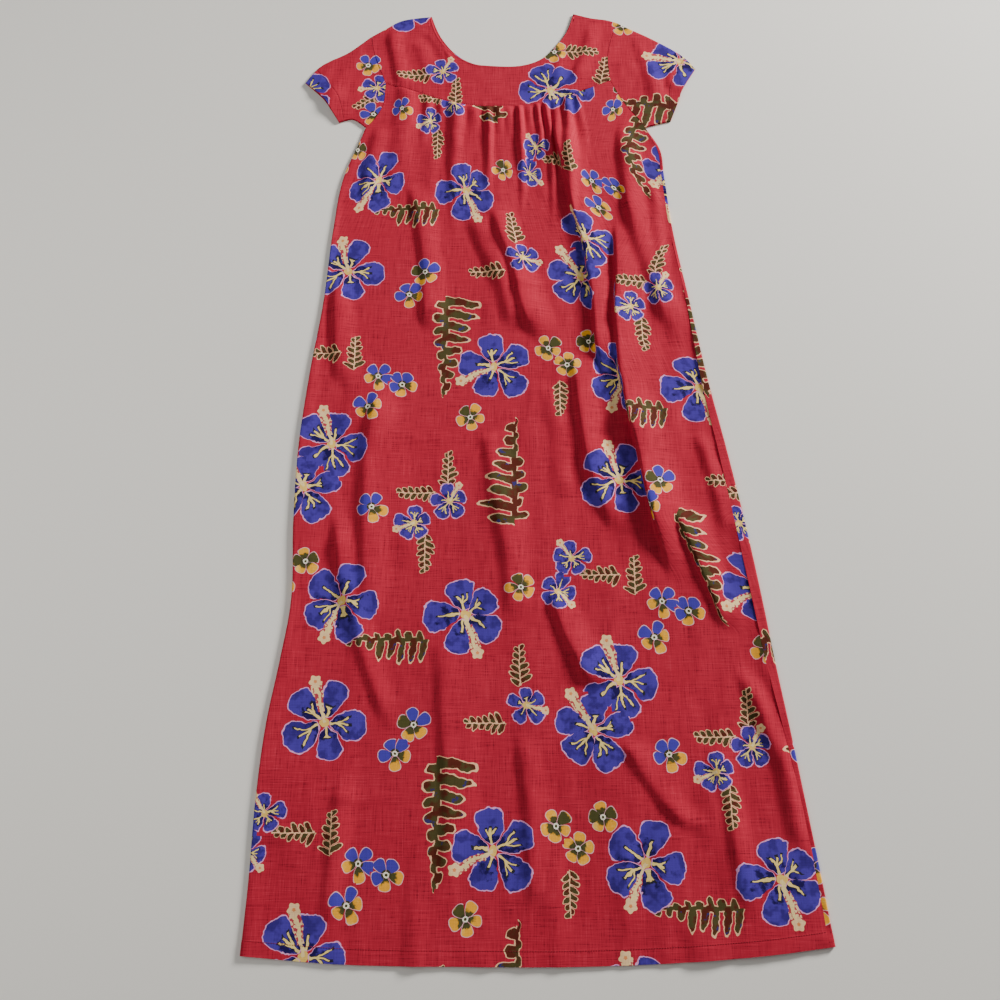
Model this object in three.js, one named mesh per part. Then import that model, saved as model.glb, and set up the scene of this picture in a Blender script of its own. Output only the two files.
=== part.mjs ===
import * as THREE from 'three';

// A long printed cotton dress laid flat with its front up: a gathered skirt hung from a curved
// yoke, a deep scoop neck and short set-in sleeves. Millimetres. X runs to the right of the laid
// front, Y towards the neck and Z up from the surface that the dress lies on.

// Driving dimensions
const wall = 1.2; // cloth thickness, with the air that crumpled cotton holds
const seamGap = 0.35; // between two pieces at a seam
const sideSeamGap = 0.55; // between the skirt panels along a side seam
const armholeGap = 0.55; // sideways, between a sleeve and the body
const underHeight = wall / 2; // middle of the back's cloth, which lies on the surface
const laidHeight = 2.45; // middle of the front's cloth where it lies on the back
const necklineRoll = 0.8; // radius of the turned neck and shoulder edges
const foldSteps = 6; // facets round a folded side edge
const nearEdge = 0.03; // share of a layer's width that shows which way it runs from its edge
const nearRow = 0.01; // share of a side edge that shows which way it runs
const edgeFalloff = 26; // how far in from a folded edge the front still stands high
const gatherStart = 12; // below the yoke seam the gathers reach their full height
const gatherAtSeam = 0.45; // share of that height at the seam itself
const seamClear = 2; // least distance from a side seam to the next column of its panel
const foldRamp = 0.34; // share of a fold's length over which each end rises
const foldPoint = 0.5; // width of a fold at its ends, as a share of its full width

// The laid skirt from hem to armpits: both side edges, how far the front wraps under the left
// edge, how much of the back shows along the right edge, and the radius of the folded edges
const skirtSections = [
  { y: -680, left: -348, right: 349, frontUnder: 9, backShows: 7, roll: 1.2 },
  { y: -600, left: -344.7, right: 340, frontUnder: 10, backShows: 6, roll: 1.5 },
  { y: -500, left: -343, right: 327.5, frontUnder: 11, backShows: 5.5, roll: 1.7 },
  { y: -415, left: -337, right: 316.5, frontUnder: 12, backShows: 9, roll: 1.9 },
  { y: -335, left: -325, right: 305.5, frontUnder: 13, backShows: 12.5, roll: 1.9 },
  { y: -265, left: -316, right: 297, frontUnder: 13, backShows: 13.5, roll: 2.1 },
  { y: -150, left: -319.5, right: 281, frontUnder: 12, backShows: 14, roll: 2.1 },
  { y: -50, left: -319.5, right: 264.5, frontUnder: 11, backShows: 12.5, roll: 1.9 },
  { y: 60, left: -311, right: 244.5, frontUnder: 10, backShows: 9.5, roll: 1.8 },
  { y: 180, left: -297, right: 226.5, frontUnder: 9, backShows: 5, roll: 1.7 },
  { y: 300, left: -289, right: 208.5, frontUnder: 8, backShows: 4.5, roll: 1.6 },
  { y: 390, left: -277.5, right: 201, frontUnder: 6, backShows: 4.5, roll: 1.4 },
  { y: 440, left: -261, right: 196, frontUnder: 4, backShows: 4, roll: 1.2 },
  { y: 476, left: -248.5, right: 176, frontUnder: 2.2, backShows: 2.2, roll: 1 },
];

const hemLine = [
  { x: -348, y: -680 },
  { x: -240, y: -688.5 },
  { x: -85, y: -691.5 },
  { x: 80, y: -690.8 },
  { x: 182, y: -686.3 },
  { x: 283, y: -678 },
  { x: 348, y: -670 },
];

const yokeSeam = [
  { x: -221, y: 557.5 },
  { x: -176.4, y: 542.6 },
  { x: -141.6, y: 529.5 },
  { x: -106.7, y: 519.5 },
  { x: -72.2, y: 515.4 },
  { x: -37.6, y: 515.4 },
  { x: 5.5, y: 519.6 },
  { x: 49, y: 531 },
  { x: 88.4, y: 546.7 },
  { x: 126.5, y: 563.5 },
];

// Gathers under the yoke seam, left to right: crest, width, height and how far down they reach
const gathers = [
  { at: -190, width: 40, height: 1.6, reach: 170 },
  { at: -156, width: 20, height: 1.7, reach: 120 },
  { at: -136, width: 20, height: 1.8, reach: 100 },
  { at: -111, width: 28, height: 2.2, reach: 120 },
  { at: -84, width: 23, height: 2.4, reach: 140 },
  { at: -65, width: 15, height: 2, reach: 70 },
  { at: -49, width: 17, height: 1.8, reach: 90 },
  { at: -32, width: 17, height: 2.2, reach: 110 },
  { at: -16.5, width: 14, height: 2.2, reach: 130 },
  { at: -2, width: 15, height: 2.4, reach: 120 },
  { at: 12.5, width: 13, height: 2.2, reach: 120 },
  { at: 26, width: 14, height: 2.4, reach: 110 },
  { at: 40, width: 14, height: 3, reach: 170 },
  { at: 55.5, width: 17, height: 2.6, reach: 120 },
  { at: 73.5, width: 19, height: 2, reach: 100 },
];

// The largest folds of the laid front skirt: points of each crest, the width of its two flanks
// and its height
const skirtFolds = [
  { top: [70, 424], middle: [97, 264], foot: [113, 54], left: 15, right: 36, height: 8 },
  { top: [-54, 344], middle: [-20, 235], foot: [8, 120], left: 20, right: 34, height: 6 },
  { top: [150, 494], middle: [168, 300], foot: [208, 110], left: 22, right: 30, height: 4 },
  { top: [66, 120], middle: [76, -20], foot: [112, -160], left: 18, right: 32, height: 6 },
  { top: [140, 80], middle: [170, -90], foot: [196, -250], left: 20, right: 30, height: 6 },
  { top: [198, -110], middle: [222, -205], foot: [252, -290], left: 28, right: 14, height: 5 },
  { top: [30, -220], middle: [52, -305], foot: [88, -390], left: 16, right: 34, height: 6 },
  { top: [-218, 60], middle: [-222, -120], foot: [-216, -300], left: 30, right: 38, height: 4 },
  { top: [-282, 230], middle: [-277, 150], foot: [-272, 60], left: 20, right: 34, height: 3 },
  { top: [-160, 330], middle: [-150, 240], foot: [-148, 150], left: 26, right: 34, height: 3 },
  { top: [-228, -290], middle: [-208, -350], foot: [-180, -420], left: 22, right: 26, height: 3 },
  { top: [262, -330], middle: [300, -420], foot: [322, -570], left: 24, right: 14, height: 4 },
  { top: [108, -430], middle: [140, -480], foot: [196, -540], left: 18, right: 30, height: 4 },
  { top: [-64, -40], middle: [-44, -160], foot: [-30, -260], left: 30, right: 34, height: 3 },
];

const neckLeft = new THREE.Vector2(-153, 687.5);
const neckRight = new THREE.Vector2(72, 691.8);
const shoulderLeft = new THREE.Vector2(-246.5, 647);
const shoulderRight = new THREE.Vector2(139.4, 674.5);
const armpitLeft = new THREE.Vector2(-248.5, 476);
const armpitRight = new THREE.Vector2(176, 476.5);
const yokeLeft = new THREE.Vector2(yokeSeam[0].x, yokeSeam[0].y);
const yokeRight = new THREE.Vector2(yokeSeam.at(-1).x, yokeSeam.at(-1).y);
const cuffTopLeft = new THREE.Vector2(-345.4, 558.7);
const cuffFootLeft = new THREE.Vector2(-290, 485.8);
const cuffTopRight = new THREE.Vector2(259, 585);
const cuffFootRight = new THREE.Vector2(216, 488);

// The back's neck edge shows inside the front's on the left: how far, and where along the neck
const backNeck = { shows: 3.5, at: 0.29, reach: 0.16 };

// A curve through a start, some points between and an end
function curveThrough(start, between, end) {
  const points = between.map(([x, y]) => new THREE.Vector2(x, y));
  return new THREE.SplineCurve([start, ...points, end]);
}

const armholeLeft = {
  lower: curveThrough(armpitLeft, [[-236, 492], [-223.5, 519.5]], yokeLeft),
  upper: curveThrough(yokeLeft, [[-231, 585.3], [-242, 619.8]], shoulderLeft),
};
const armholeRight = {
  lower: curveThrough(armpitRight, [[168, 491], [144, 525.1]], yokeRight),
  upper: curveThrough(yokeRight, [[123.5, 597], [126, 626]], shoulderRight),
};
const shoulderSeamLeft = curveThrough(shoulderLeft, [[-226.5, 660.7], [-198.5, 678.4]], neckLeft);
const shoulderSeamRight = curveThrough(neckRight, [[99.5, 683.5], [122, 680]], shoulderRight);
const neckline = curveThrough(neckLeft, [
  [-139.2, 650], [-116.7, 617.3], [-90.1, 597], [-63.7, 591.4],
  [-15.6, 590.8], [19.7, 603.8], [44.2, 630.8], [61, 658],
], neckRight);

// One column of a table as a smooth function of another
function column(rows, along, name) {
  const places = rows.map((row) => row[along]);
  const values = rows.map((row) => row[name]);
  const interpolant = new THREE.CubicInterpolant(places, values, 1);
  return (place) => interpolant.evaluate(place)[0];
}

const leftEdge = column(skirtSections, 'y', 'left');
const rightEdge = column(skirtSections, 'y', 'right');
const frontUnder = column(skirtSections, 'y', 'frontUnder');
const backShows = column(skirtSections, 'y', 'backShows');
const edgeRoll = column(skirtSections, 'y', 'roll');
const hemY = column(hemLine, 'x', 'y');
const yokeSeamY = column(yokeSeam, 'x', 'y');

const mix = THREE.MathUtils.lerp;

// A patch between four edge curves; power draws the head's shape towards the head
function patch({ foot, head, left, right, power = 1 }) {
  return (s, v) => {
    const sides = left(v).lerp(right(v), s);
    const footShape = foot(s).sub(foot(0).lerp(foot(1), s));
    const headShape = head(s).sub(head(0).lerp(head(1), s));
    return sides.addScaledVector(footShape, 1 - v).addScaledVector(headShape, v ** power);
  };
}

// Half a cosine hump: 1 on the crest, 0 at its rim
function hump(distance) {
  return distance < 1 ? 0.5 + 0.5 * Math.cos(Math.PI * distance) : 0;
}

// The plan of the skirt: across from the left edge to the right edge, and up from the hem past
// the armpits to the yoke seam
const armpitShare = 0.93; // of the way up

function hemPoint(s) {
  const x = mix(hemLine[0].x, hemLine.at(-1).x, s);
  return new THREE.Vector2(x, hemY(x));
}

function seamPoint(s) {
  const x = mix(yokeLeft.x, yokeRight.x, s);
  return new THREE.Vector2(x, yokeSeamY(x));
}

function sideLine(edge, hemEnd, armpit, armhole) {
  return (v) => {
    if (v > armpitShare) return armhole.lower.getPoint((v - armpitShare) / (1 - armpitShare));
    const y = mix(hemEnd, armpit.y, v / armpitShare);
    return new THREE.Vector2(edge(y), y);
  };
}

const skirtPlan = patch({
  foot: hemPoint,
  head: seamPoint,
  left: sideLine(leftEdge, hemLine[0].y, armpitLeft, armholeLeft),
  right: sideLine(rightEdge, hemLine.at(-1).y, armpitRight, armholeRight),
  power: 14,
});

// A fold where it crosses y: its crest's x, its full height there and the width of its flanks.
// It rises and widens from a point at each end.
function foldAcross(fold, y) {
  const crest = [fold.foot, fold.middle, fold.top].map(([crestX, crestY]) => ({ crestX, crestY }));
  const [low, high] = [crest[0].crestY, crest[2].crestY];
  if (y <= low || y >= high) return null;
  const share = (y - low) / (high - low);
  const rise = 1 - hump(Math.min(share, 1 - share) / foldRamp);
  const widen = mix(foldPoint, 1, rise);
  return {
    x: column(crest, 'crestY', 'crestX')(y),
    height: fold.height * rise,
    left: fold.left * widen,
    right: fold.right * widen,
  };
}

function foldHeight(fold, x, y) {
  const here = foldAcross(fold, y);
  if (!here) return 0;
  const across = x - here.x;
  return here.height * hump(across < 0 ? -across / here.left : across / here.right);
}

function gatherHeight(s, v) {
  const seam = seamPoint(s);
  const below = seam.y - skirtPlan(s, v).y;
  const onset = mix(gatherAtSeam, 1, Math.min(below / gatherStart, 1));
  return gathers.reduce((sum, { at, width, height, reach }) => {
    const crest = hump((2 * Math.abs(seam.x - at)) / width);
    return sum + height * crest * onset * hump(below / reach);
  }, 0);
}

// Middle height of the front skirt's cloth
function skirtTop(s, v) {
  const { x, y } = skirtPlan(s, v);
  const fromEdge = Math.min(x - leftEdge(y), rightEdge(y) - x);
  const edgeHeight = underHeight + 2 * edgeRoll(y) - laidHeight;
  const lift = edgeHeight * hump(Math.max(fromEdge, 0) / edgeFalloff);
  const inside = 1 - hump(Math.max(fromEdge, 0) / edgeFalloff);
  const folds = skirtFolds.reduce((sum, fold) => sum + foldHeight(fold, x, y), 0);
  return laidHeight + lift + inside * (folds + gatherHeight(s, v));
}

// A laid tube is two layers that turn into each other at two folded edges. A place round it is
// either on a layer or at an angle round a fold, from the underside up.
function tubePoint(tube, place, v) {
  if (place.s > 0 && place.s < 1) {
    const p = tube.plan(place.s, v);
    const z = place.layer === 'top' ? tube.top(place.s, v) : underHeight;
    return new THREE.Vector3(p.x, p.y, z);
  }
  const side = place.fold ?? place.s;
  const roll = (tube.top(side, v) - underHeight) / 2;
  const angle = place.turn ?? (place.layer === 'top' ? Math.PI : 0);
  const inset = wall / 2 + roll - roll * Math.sin(angle);
  const p = tube.plan(side, v).addScaledVector(tube.inward(side, v), inset);
  return new THREE.Vector3(p.x, p.y, underHeight + roll - roll * Math.cos(angle));
}

// Places round a folded edge, without its two ends
function foldPlaces(fold) {
  return Array.from({ length: foldSteps - 1 }, (_, i) => {
    return { fold, turn: (Math.PI * (i + 1)) / foldSteps };
  });
}

function shares(from, to, steps) {
  return Array.from({ length: steps + 1 }, (_, i) => mix(from, to, i / steps));
}

function unit(from, to) {
  return to.clone().sub(from).normalize();
}

// A piece of cloth is rows of points on its middle surface. Each point has its share of the way
// along its row, so that rows with different numbers of points can meet. The cloth ends at a
// point that is marked so, and a ring's last point is its first one.
function surfaceOf(rows) {
  const points = [];
  const indexed = rows.map((row) => {
    const first = points.length;
    return row.map(({ share, point, ends, closes }) => {
      if (closes) return { share, index: first };
      points.push(point);
      return { share, index: points.length - 1, ends };
    });
  });
  const triangles = [];
  indexed.slice(1).forEach((upper, row) => {
    const lower = indexed[row].filter((place) => !place.ends);
    let [i, j] = [0, 0];
    while (i < lower.length - 1 || j < upper.length - 1) {
      const lowerFirst = lower[i + 1] && !(upper[j + 1]?.share < lower[i + 1].share);
      const far = lowerFirst ? lower[i + 1] : upper[j + 1];
      triangles.push([lower[i].index, far.index, upper[j].index]);
      if (lowerFirst) i += 1;
      else j += 1;
    }
  });
  return { points, triangles };
}

function faceNormal(a, b, c) {
  return b.clone().sub(a).cross(c.clone().sub(a)).normalize();
}

// A closed wall of cloth about a middle surface, with a rim along its free edges
function clothWall(name, colour, { points, triangles }) {
  const normals = points.map(() => new THREE.Vector3());
  const freeEdges = new Map();
  triangles.forEach((corners) => {
    const [a, b, c] = corners.map((index) => points[index]);
    const normal = faceNormal(a, b, c);
    corners.forEach((index, i) => {
      const next = corners[(i + 1) % 3];
      const last = corners[(i + 2) % 3];
      const here = points[index];
      const angle = points[next].clone().sub(here).angleTo(points[last].clone().sub(here));
      normals[index].addScaledVector(normal, angle);
      if (!freeEdges.delete(`${next} ${index}`)) freeEdges.set(`${index} ${next}`, [index, next]);
    });
  });
  const side = (distance) => points.map((point, i) => {
    return point.clone().addScaledVector(normals[i].normalize(), distance);
  });
  const inner = points.length;
  const faces = triangles.flatMap(([a, b, c]) => [a, b, c, inner + a, inner + c, inner + b]);
  freeEdges.forEach(([a, b]) => faces.push(a, inner + a, b, b, inner + a, inner + b));
  const corners = [...side(wall / 2), ...side(-wall / 2)];
  const geometry = new THREE.BufferGeometry().setFromPoints(corners);
  geometry.setIndex(faces);
  geometry.computeVertexNormals();
  const material = new THREE.MeshStandardMaterial({ color: colour, roughness: 0.85 });
  const mesh = new THREE.Mesh(geometry, material);
  mesh.name = name;
  return mesh;
}

// Rows of the armholes, which the body and the sleeves share
const lowerArmhole = [0, 0.27, 0.52, 0.73, 0.89, 1];
const upperArmhole = [0, 0.25, 0.5, 0.75, 1];

// Columns of the yokes, which the back skirt's columns meet at the seam
const neckStart = 0.21; // shares of the yoke's width at which the neckline starts and ends
const neckEnd = 0.86;
const yokeColumns = [
  ...shares(0, neckStart, 6),
  ...shares(neckStart, neckEnd, 20).slice(1),
  ...shares(neckEnd, 1, 4).slice(1),
];
const backYokeColumns = yokeColumns.filter((_, i) => i % 2 === 0);

// Skirt panels
function squareToSide(side, v) {
  const low = Math.min(v, armpitShare - nearRow);
  const along = unit(skirtPlan(side, low), skirtPlan(side, low + nearRow));
  return side ? new THREE.Vector2(-along.y, along.x) : new THREE.Vector2(along.y, -along.x);
}

const skirt = { plan: skirtPlan, top: skirtTop, inward: squareToSide };

// Rows of the skirt: distances below the armpits, then the rows of the armholes
const closeRows = [0, 18, 38, 62, 92, 128]; // down past the gathers
const openRows = 31; // from there to the hem
const sideLength = armpitLeft.y - hemLine[0].y;
const armpitRow = (below) => armpitShare * (1 - below / sideLength);
const gathersEnd = armpitRow(closeRows.at(-1));
const skirtRows = [
  ...shares(0, gathersEnd, openRows).slice(0, -1),
  ...closeRows.map(armpitRow).reverse(),
  ...lowerArmhole.slice(1).map((share) => mix(armpitShare, 1, share)),
];

const seamShare = (x) => (x - yokeLeft.x) / (yokeRight.x - yokeLeft.x);
const gatherColumns = gathers.flatMap(({ at, width }) => {
  return [-0.5, -0.25, 0, 0.25].map((share) => seamShare(at + share * width));
});
const afterGathers = seamShare(gathers.at(-1).at + gathers.at(-1).width / 2);
const closeColumns = [0, ...gatherColumns, ...shares(afterGathers, 1, 4)];
const openColumns = shares(0, 1, 46);

// How far a side seam lies in from its edge: on the top along the right edge, and on the
// underside along the left
function seamInset(side, v) {
  if (v > armpitShare) return 0;
  const { y } = skirtPlan(side, v);
  return side ? backShows(y) : frontUnder(y);
}

function sideSeam(side, v, sideways) {
  const inset = seamInset(side, v) + (v > armpitShare ? 0 : sideways);
  const p = skirtPlan(side, v).addScaledVector(squareToSide(side, v), inset);
  return new THREE.Vector3(p.x, p.y, side ? skirtTop(1, v) : underHeight);
}

// Places of one row of a skirt panel: its main layer, and below the armpits the fold and the
// strip beyond it, up to the side seam
function skirtRow(v, columns, layer, foldSide) {
  const folded = v <= armpitShare;
  const outerShare = (step) => (foldSide ? 1 + step * nearEdge : -step * nearEdge);
  const seamEnd = skirtPlan(1 - foldSide, v).x;
  const nearest = seamInset(1 - foldSide, v) + seamClear;
  const inside = (s) => Math.abs(skirtPlan(s, v).x - seamEnd) > nearest;
  const main = columns.filter(inside).map((s) => {
    if (s === foldSide && !folded) {
      const { x, y } = skirtPlan(s, v);
      return { share: s, point: new THREE.Vector3(x, y, layer === 'top' ? skirtTop(s, v) : underHeight) };
    }
    return { share: s, point: tubePoint(skirt, { layer, s }, v) };
  });
  main.push({ share: 1 - foldSide, point: sideSeam(1 - foldSide, v, sideSeamGap / 2) });
  if (folded) {
    const places = foldPlaces(foldSide);
    if (layer === 'top') places.reverse();
    places.push({ layer: layer === 'top' ? 'under' : 'top', s: foldSide });
    const points = places.map((place) => tubePoint(skirt, place, v));
    points.push(sideSeam(foldSide, v, -sideSeamGap / 2));
    const ends = v === armpitShare;
    points.forEach((point, step) => main.push({ share: outerShare(step + 1), point, ends }));
  }
  return main.sort((a, b) => a.share - b.share);
}

function frontSkirt() {
  const rows = skirtRows.map((v) => {
    return skirtRow(v, v < gathersEnd ? openColumns : closeColumns, 'top', 0);
  });
  return clothWall('front_skirt', 0xb32638, surfaceOf(rows));
}

function backSkirt() {
  const rows = skirtRows.map((v) => skirtRow(v, backYokeColumns, 'under', 1));
  return clothWall('back_skirt', 0xa92334, surfaceOf(rows));
}

// Yokes
function yokeHead(s) {
  if (s < neckStart) return shoulderSeamLeft.getPoint(s / neckStart);
  if (s > neckEnd) return shoulderSeamRight.getPoint((s - neckEnd) / (1 - neckEnd));
  return neckline.getPointAt((s - neckStart) / (neckEnd - neckStart));
}

const yokePlan = patch({
  foot: (s) => seamPoint(s).add(new THREE.Vector2(0, seamGap)),
  head: yokeHead,
  left: (v) => armholeLeft.upper.getPoint(v).add(new THREE.Vector2(0, seamGap * (1 - v))),
  right: (v) => armholeRight.upper.getPoint(v).add(new THREE.Vector2(0, seamGap * (1 - v))),
});

// Soft folds that run down the straps of the laid yoke
const yokeFolds = [
  { top: [-214, 672], middle: [-214, 620], foot: [-196, 545], left: 18, right: 20, height: 2 },
  { top: [100, 690], middle: [96, 630], foot: [70, 560], left: 16, right: 20, height: 2 },
];

// The outward direction of a row of points at each of them
function outwards(row) {
  return row.map((point, i) => {
    const before = i ? unit(row[i - 1], point) : new THREE.Vector3();
    const after = i < row.length - 1 ? unit(point, row[i + 1]) : new THREE.Vector3();
    const along = before.add(after);
    return new THREE.Vector3(-along.y, along.x, 0).normalize();
  });
}

const withShares = (row) => row.map((point, i) => ({ share: yokeColumns[i], point }));

// The shoulder and neck edges of the front turn down by a quarter circle, onto the back's edge
function frontYoke() {
  const grid = upperArmhole.map((v) => yokeColumns.map((s) => {
    const { x, y } = yokePlan(s, v);
    const folds = yokeFolds.reduce((sum, fold) => sum + foldHeight(fold, x, y), 0);
    return new THREE.Vector3(x, y, laidHeight + folds);
  }));
  const head = grid.pop();
  const outward = outwards(head);
  const turnedRows = shares(0, Math.PI / 2, foldSteps / 2).map((turn) => head.map((point, i) => {
    const neckShare = hump(Math.abs(yokeColumns[i] - backNeck.at) / backNeck.reach);
    const inset = wall / 2 + necklineRoll + backNeck.shows * neckShare;
    const p = point.clone().addScaledVector(outward[i], necklineRoll * Math.sin(turn) - inset);
    p.z = laidHeight - necklineRoll * (1 - Math.cos(turn));
    return p;
  }));
  return clothWall('front_yoke', 0xb8293b, surfaceOf([...grid, ...turnedRows].map(withShares)));
}

function backYoke() {
  const rows = upperArmhole.map((v) => backYokeColumns.map((s) => {
    const { x, y } = yokePlan(s, v);
    return { share: s, point: new THREE.Vector3(x, y, underHeight) };
  }));
  return clothWall('back_yoke', 0xa62232, surfaceOf(rows));
}

// Sleeves
const sleeveSteps = 9; // rings from armhole to cuff

const sleeves = [
  {
    name: 'sleeve_right',
    armhole: armholeLeft,
    clear: new THREE.Vector2(-armholeGap, 0.15),
    underarm: curveThrough(armpitLeft, [[-266, 490], [-278, 490]], cuffFootLeft),
    overarm: curveThrough(shoulderLeft, [[-280, 617], [-310, 599.6], [-327, 586.4]], cuffTopLeft),
    cuff: curveThrough(cuffFootLeft, [[-302, 506.5], [-317, 530.3]], cuffTopLeft),
    mouth: 3.2,
    folds: [
      { top: [-268, 640], middle: [-290, 575], foot: [-300, 500], left: 22, right: 24, height: 2 },
    ],
  },
  {
    name: 'sleeve_left',
    armhole: armholeRight,
    clear: new THREE.Vector2(armholeGap, 0.15),
    underarm: curveThrough(armpitRight, [[196, 482.5]], cuffFootRight),
    overarm: curveThrough(shoulderRight, [[160, 662], [195, 642], [238, 612]], cuffTopRight),
    cuff: curveThrough(cuffFootRight, [[230.3, 525.4], [238, 548.2]], cuffTopRight),
    mouth: 2,
    folds: [
      { top: [176, 650], middle: [190, 590], foot: [196, 520], left: 20, right: 24, height: 2.4 },
    ],
  },
];

function sleeve({ name, armhole, clear, underarm, overarm, cuff, mouth, folds }) {
  const armholePoint = (s) => {
    const upper = s > 0.5;
    const p = upper ? armhole.upper.getPoint(2 * s - 1) : armhole.lower.getPoint(2 * s);
    return p.add(clear);
  };
  const plan = patch({
    foot: armholePoint,
    head: (s) => cuff.getPoint(s),
    left: (v) => underarm.getPoint(v).addScaledVector(clear, 1 - v),
    right: (v) => overarm.getPoint(v).addScaledVector(clear, 1 - v),
  });
  const top = (s, v) => {
    const { x, y } = plan(s, v);
    const puff = Math.sin(Math.PI * s) * mouth * v * v;
    const raised = folds.reduce((sum, fold) => sum + foldHeight(fold, x, y), 0);
    return laidHeight + puff + raised * Math.sin(Math.PI * s);
  };
  const inward = (side, v) => unit(plan(side, v), plan(Math.abs(side - nearEdge), v));
  const tube = { plan, top, inward };
  const upper = upperArmhole.slice(1).map((share) => 0.5 + share / 2);
  const layerShares = [...lowerArmhole.map((share) => share / 2), ...upper];
  const round = [
    ...layerShares.map((s) => ({ layer: 'under', s })),
    ...foldPlaces(1),
    ...layerShares.map((s) => ({ layer: 'top', s })).reverse(),
    ...foldPlaces(0).reverse(),
  ];
  const rows = shares(0, 1, sleeveSteps).map((v) => {
    const ring = round.map((place, i) => ({ share: i, point: tubePoint(tube, place, v) }));
    return [...ring, { share: round.length, closes: true }];
  });
  return clothWall(name, 0xb02537, surfaceOf(rows));
}

const dress = new THREE.Group();
dress.add(backSkirt(), frontSkirt(), backYoke(), frontYoke(), ...sleeves.map(sleeve));

export default dress;
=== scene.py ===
import math

import bpy
import numpy as np
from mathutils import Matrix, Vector


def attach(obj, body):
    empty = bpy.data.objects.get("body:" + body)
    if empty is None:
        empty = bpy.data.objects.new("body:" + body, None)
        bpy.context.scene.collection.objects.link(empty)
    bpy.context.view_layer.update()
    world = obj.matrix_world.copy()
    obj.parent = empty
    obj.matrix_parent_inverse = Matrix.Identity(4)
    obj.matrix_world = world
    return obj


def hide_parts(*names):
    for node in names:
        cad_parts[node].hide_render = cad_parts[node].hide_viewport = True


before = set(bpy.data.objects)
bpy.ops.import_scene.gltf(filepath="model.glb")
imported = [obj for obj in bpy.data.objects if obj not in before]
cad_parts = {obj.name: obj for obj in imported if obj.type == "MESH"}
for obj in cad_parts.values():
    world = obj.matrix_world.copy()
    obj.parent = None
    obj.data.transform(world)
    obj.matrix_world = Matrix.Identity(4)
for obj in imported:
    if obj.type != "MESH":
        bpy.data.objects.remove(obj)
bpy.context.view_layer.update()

# Lengths are in millimetres on the laid dress, x to the right and y towards the neck, until a
# mesh is made of them
mm = 0.001
quarterTurn = math.pi / 2

cloth = {
    "thick": 0.5,
    "underHeight": 0.6,  # middle of the back's cloth
    "laidHeight": 2.45,  # middle of the front's cloth where it lies on the back
    "seamGap": 0.35,
    "sideSeamGap": 0.1,
    "hemDepth": 17,  # turned up and stitched
    "hemThick": 1.2,
    "edgeFalloff": 26,  # how far in from a folded edge the front still stands high
}


def smooth(t):
    t = np.clip(t, 0, 1)
    return t * t * (3 - 2 * t)


def hump(distance):
    return 0.5 + 0.5 * np.cos(np.pi * np.clip(np.abs(distance), 0, 1))


# One column of a table as a smooth function of another
def column(table, along, name):
    places = np.array(table[along], float)
    values = np.array(table[name], float)
    slopes = np.gradient(values, places)

    def at(place):
        place = np.clip(place, places[0], places[-1])
        i = np.clip(np.searchsorted(places, place) - 1, 0, len(places) - 2)
        step = places[i + 1] - places[i]
        t = (place - places[i]) / step
        start = (1 + 2 * t) * (1 - t) ** 2 * values[i] + t * (1 - t) ** 2 * step * slopes[i]
        return start + t * t * (3 - 2 * t) * values[i + 1] + t * t * (t - 1) * step * slopes[i + 1]

    return at


# A curve through points, as a function of the share of the way along it
def curve(*points):
    points = np.array(points, float)

    def at(share):
        place = np.clip(share, 0, 1) * (len(points) - 1)
        i = np.minimum(place.astype(int), len(points) - 2)
        t = (place - i)[..., None]
        here, there = points[i], points[i + 1]
        pullHere = (there - points[np.maximum(i - 1, 0)]) / 2
        pullThere = (points[np.minimum(i + 2, len(points) - 1)] - here) / 2
        cubic = (2 * here - 2 * there + pullHere + pullThere) * t ** 3
        return cubic + (3 * there - 3 * here - 2 * pullHere - pullThere) * t ** 2 + pullHere * t + here

    return at


# A patch between four edge curves; power draws the head's shape towards the head
def patch(foot, head, left, right, power=1):
    ends = np.array([0.0, 1.0])
    footEnds, headEnds = foot(ends), head(ends)

    def at(s, v):
        s, v = np.broadcast_arrays(s, v)
        share, up = s[..., None], v[..., None]
        sides = left(v) * (1 - share) + right(v) * share
        footShape = foot(s) - footEnds[0] * (1 - share) - footEnds[1] * share
        headShape = head(s) - headEnds[0] * (1 - share) - headEnds[1] * share
        return sides + footShape * (1 - up) + headShape * up ** power

    return at


# Soft uneven noise from -1 to 1: a seeded grid of heights, smoothed between its points
def softNoise(x, y, across, along, seed):
    size = 64
    heights = np.random.default_rng(seed).uniform(-1, 1, (size, size))
    gx, gy = x / across + 1000, y / along + 1000
    ix, iy = np.floor(gx).astype(int), np.floor(gy).astype(int)
    tx, ty = smooth(gx - ix), smooth(gy - iy)
    low = heights[ix % size, iy % size] * (1 - tx) + heights[(ix + 1) % size, iy % size] * tx
    high = heights[ix % size, (iy + 1) % size] * (1 - tx) + heights[(ix + 1) % size, (iy + 1) % size] * tx
    return low * (1 - ty) + high * ty


# The pattern pieces' outlines as they lie
outline = {
    "neckLeft": (-153, 687.5),
    "neckRight": (72, 691.8),
    "shoulderLeft": (-246.5, 647),
    "shoulderRight": (139.4, 674.5),
    "armpitLeft": (-248.5, 476),
    "armpitRight": (176, 476.5),
    "yokeLeft": (-221, 557.5),
    "yokeRight": (126.5, 563.5),
    "cuffTopLeft": (-345.4, 558.7),
    "cuffFootLeft": (-290, 485.8),
    "cuffTopRight": (259, 585),
    "cuffFootRight": (216, 488),
}

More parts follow.
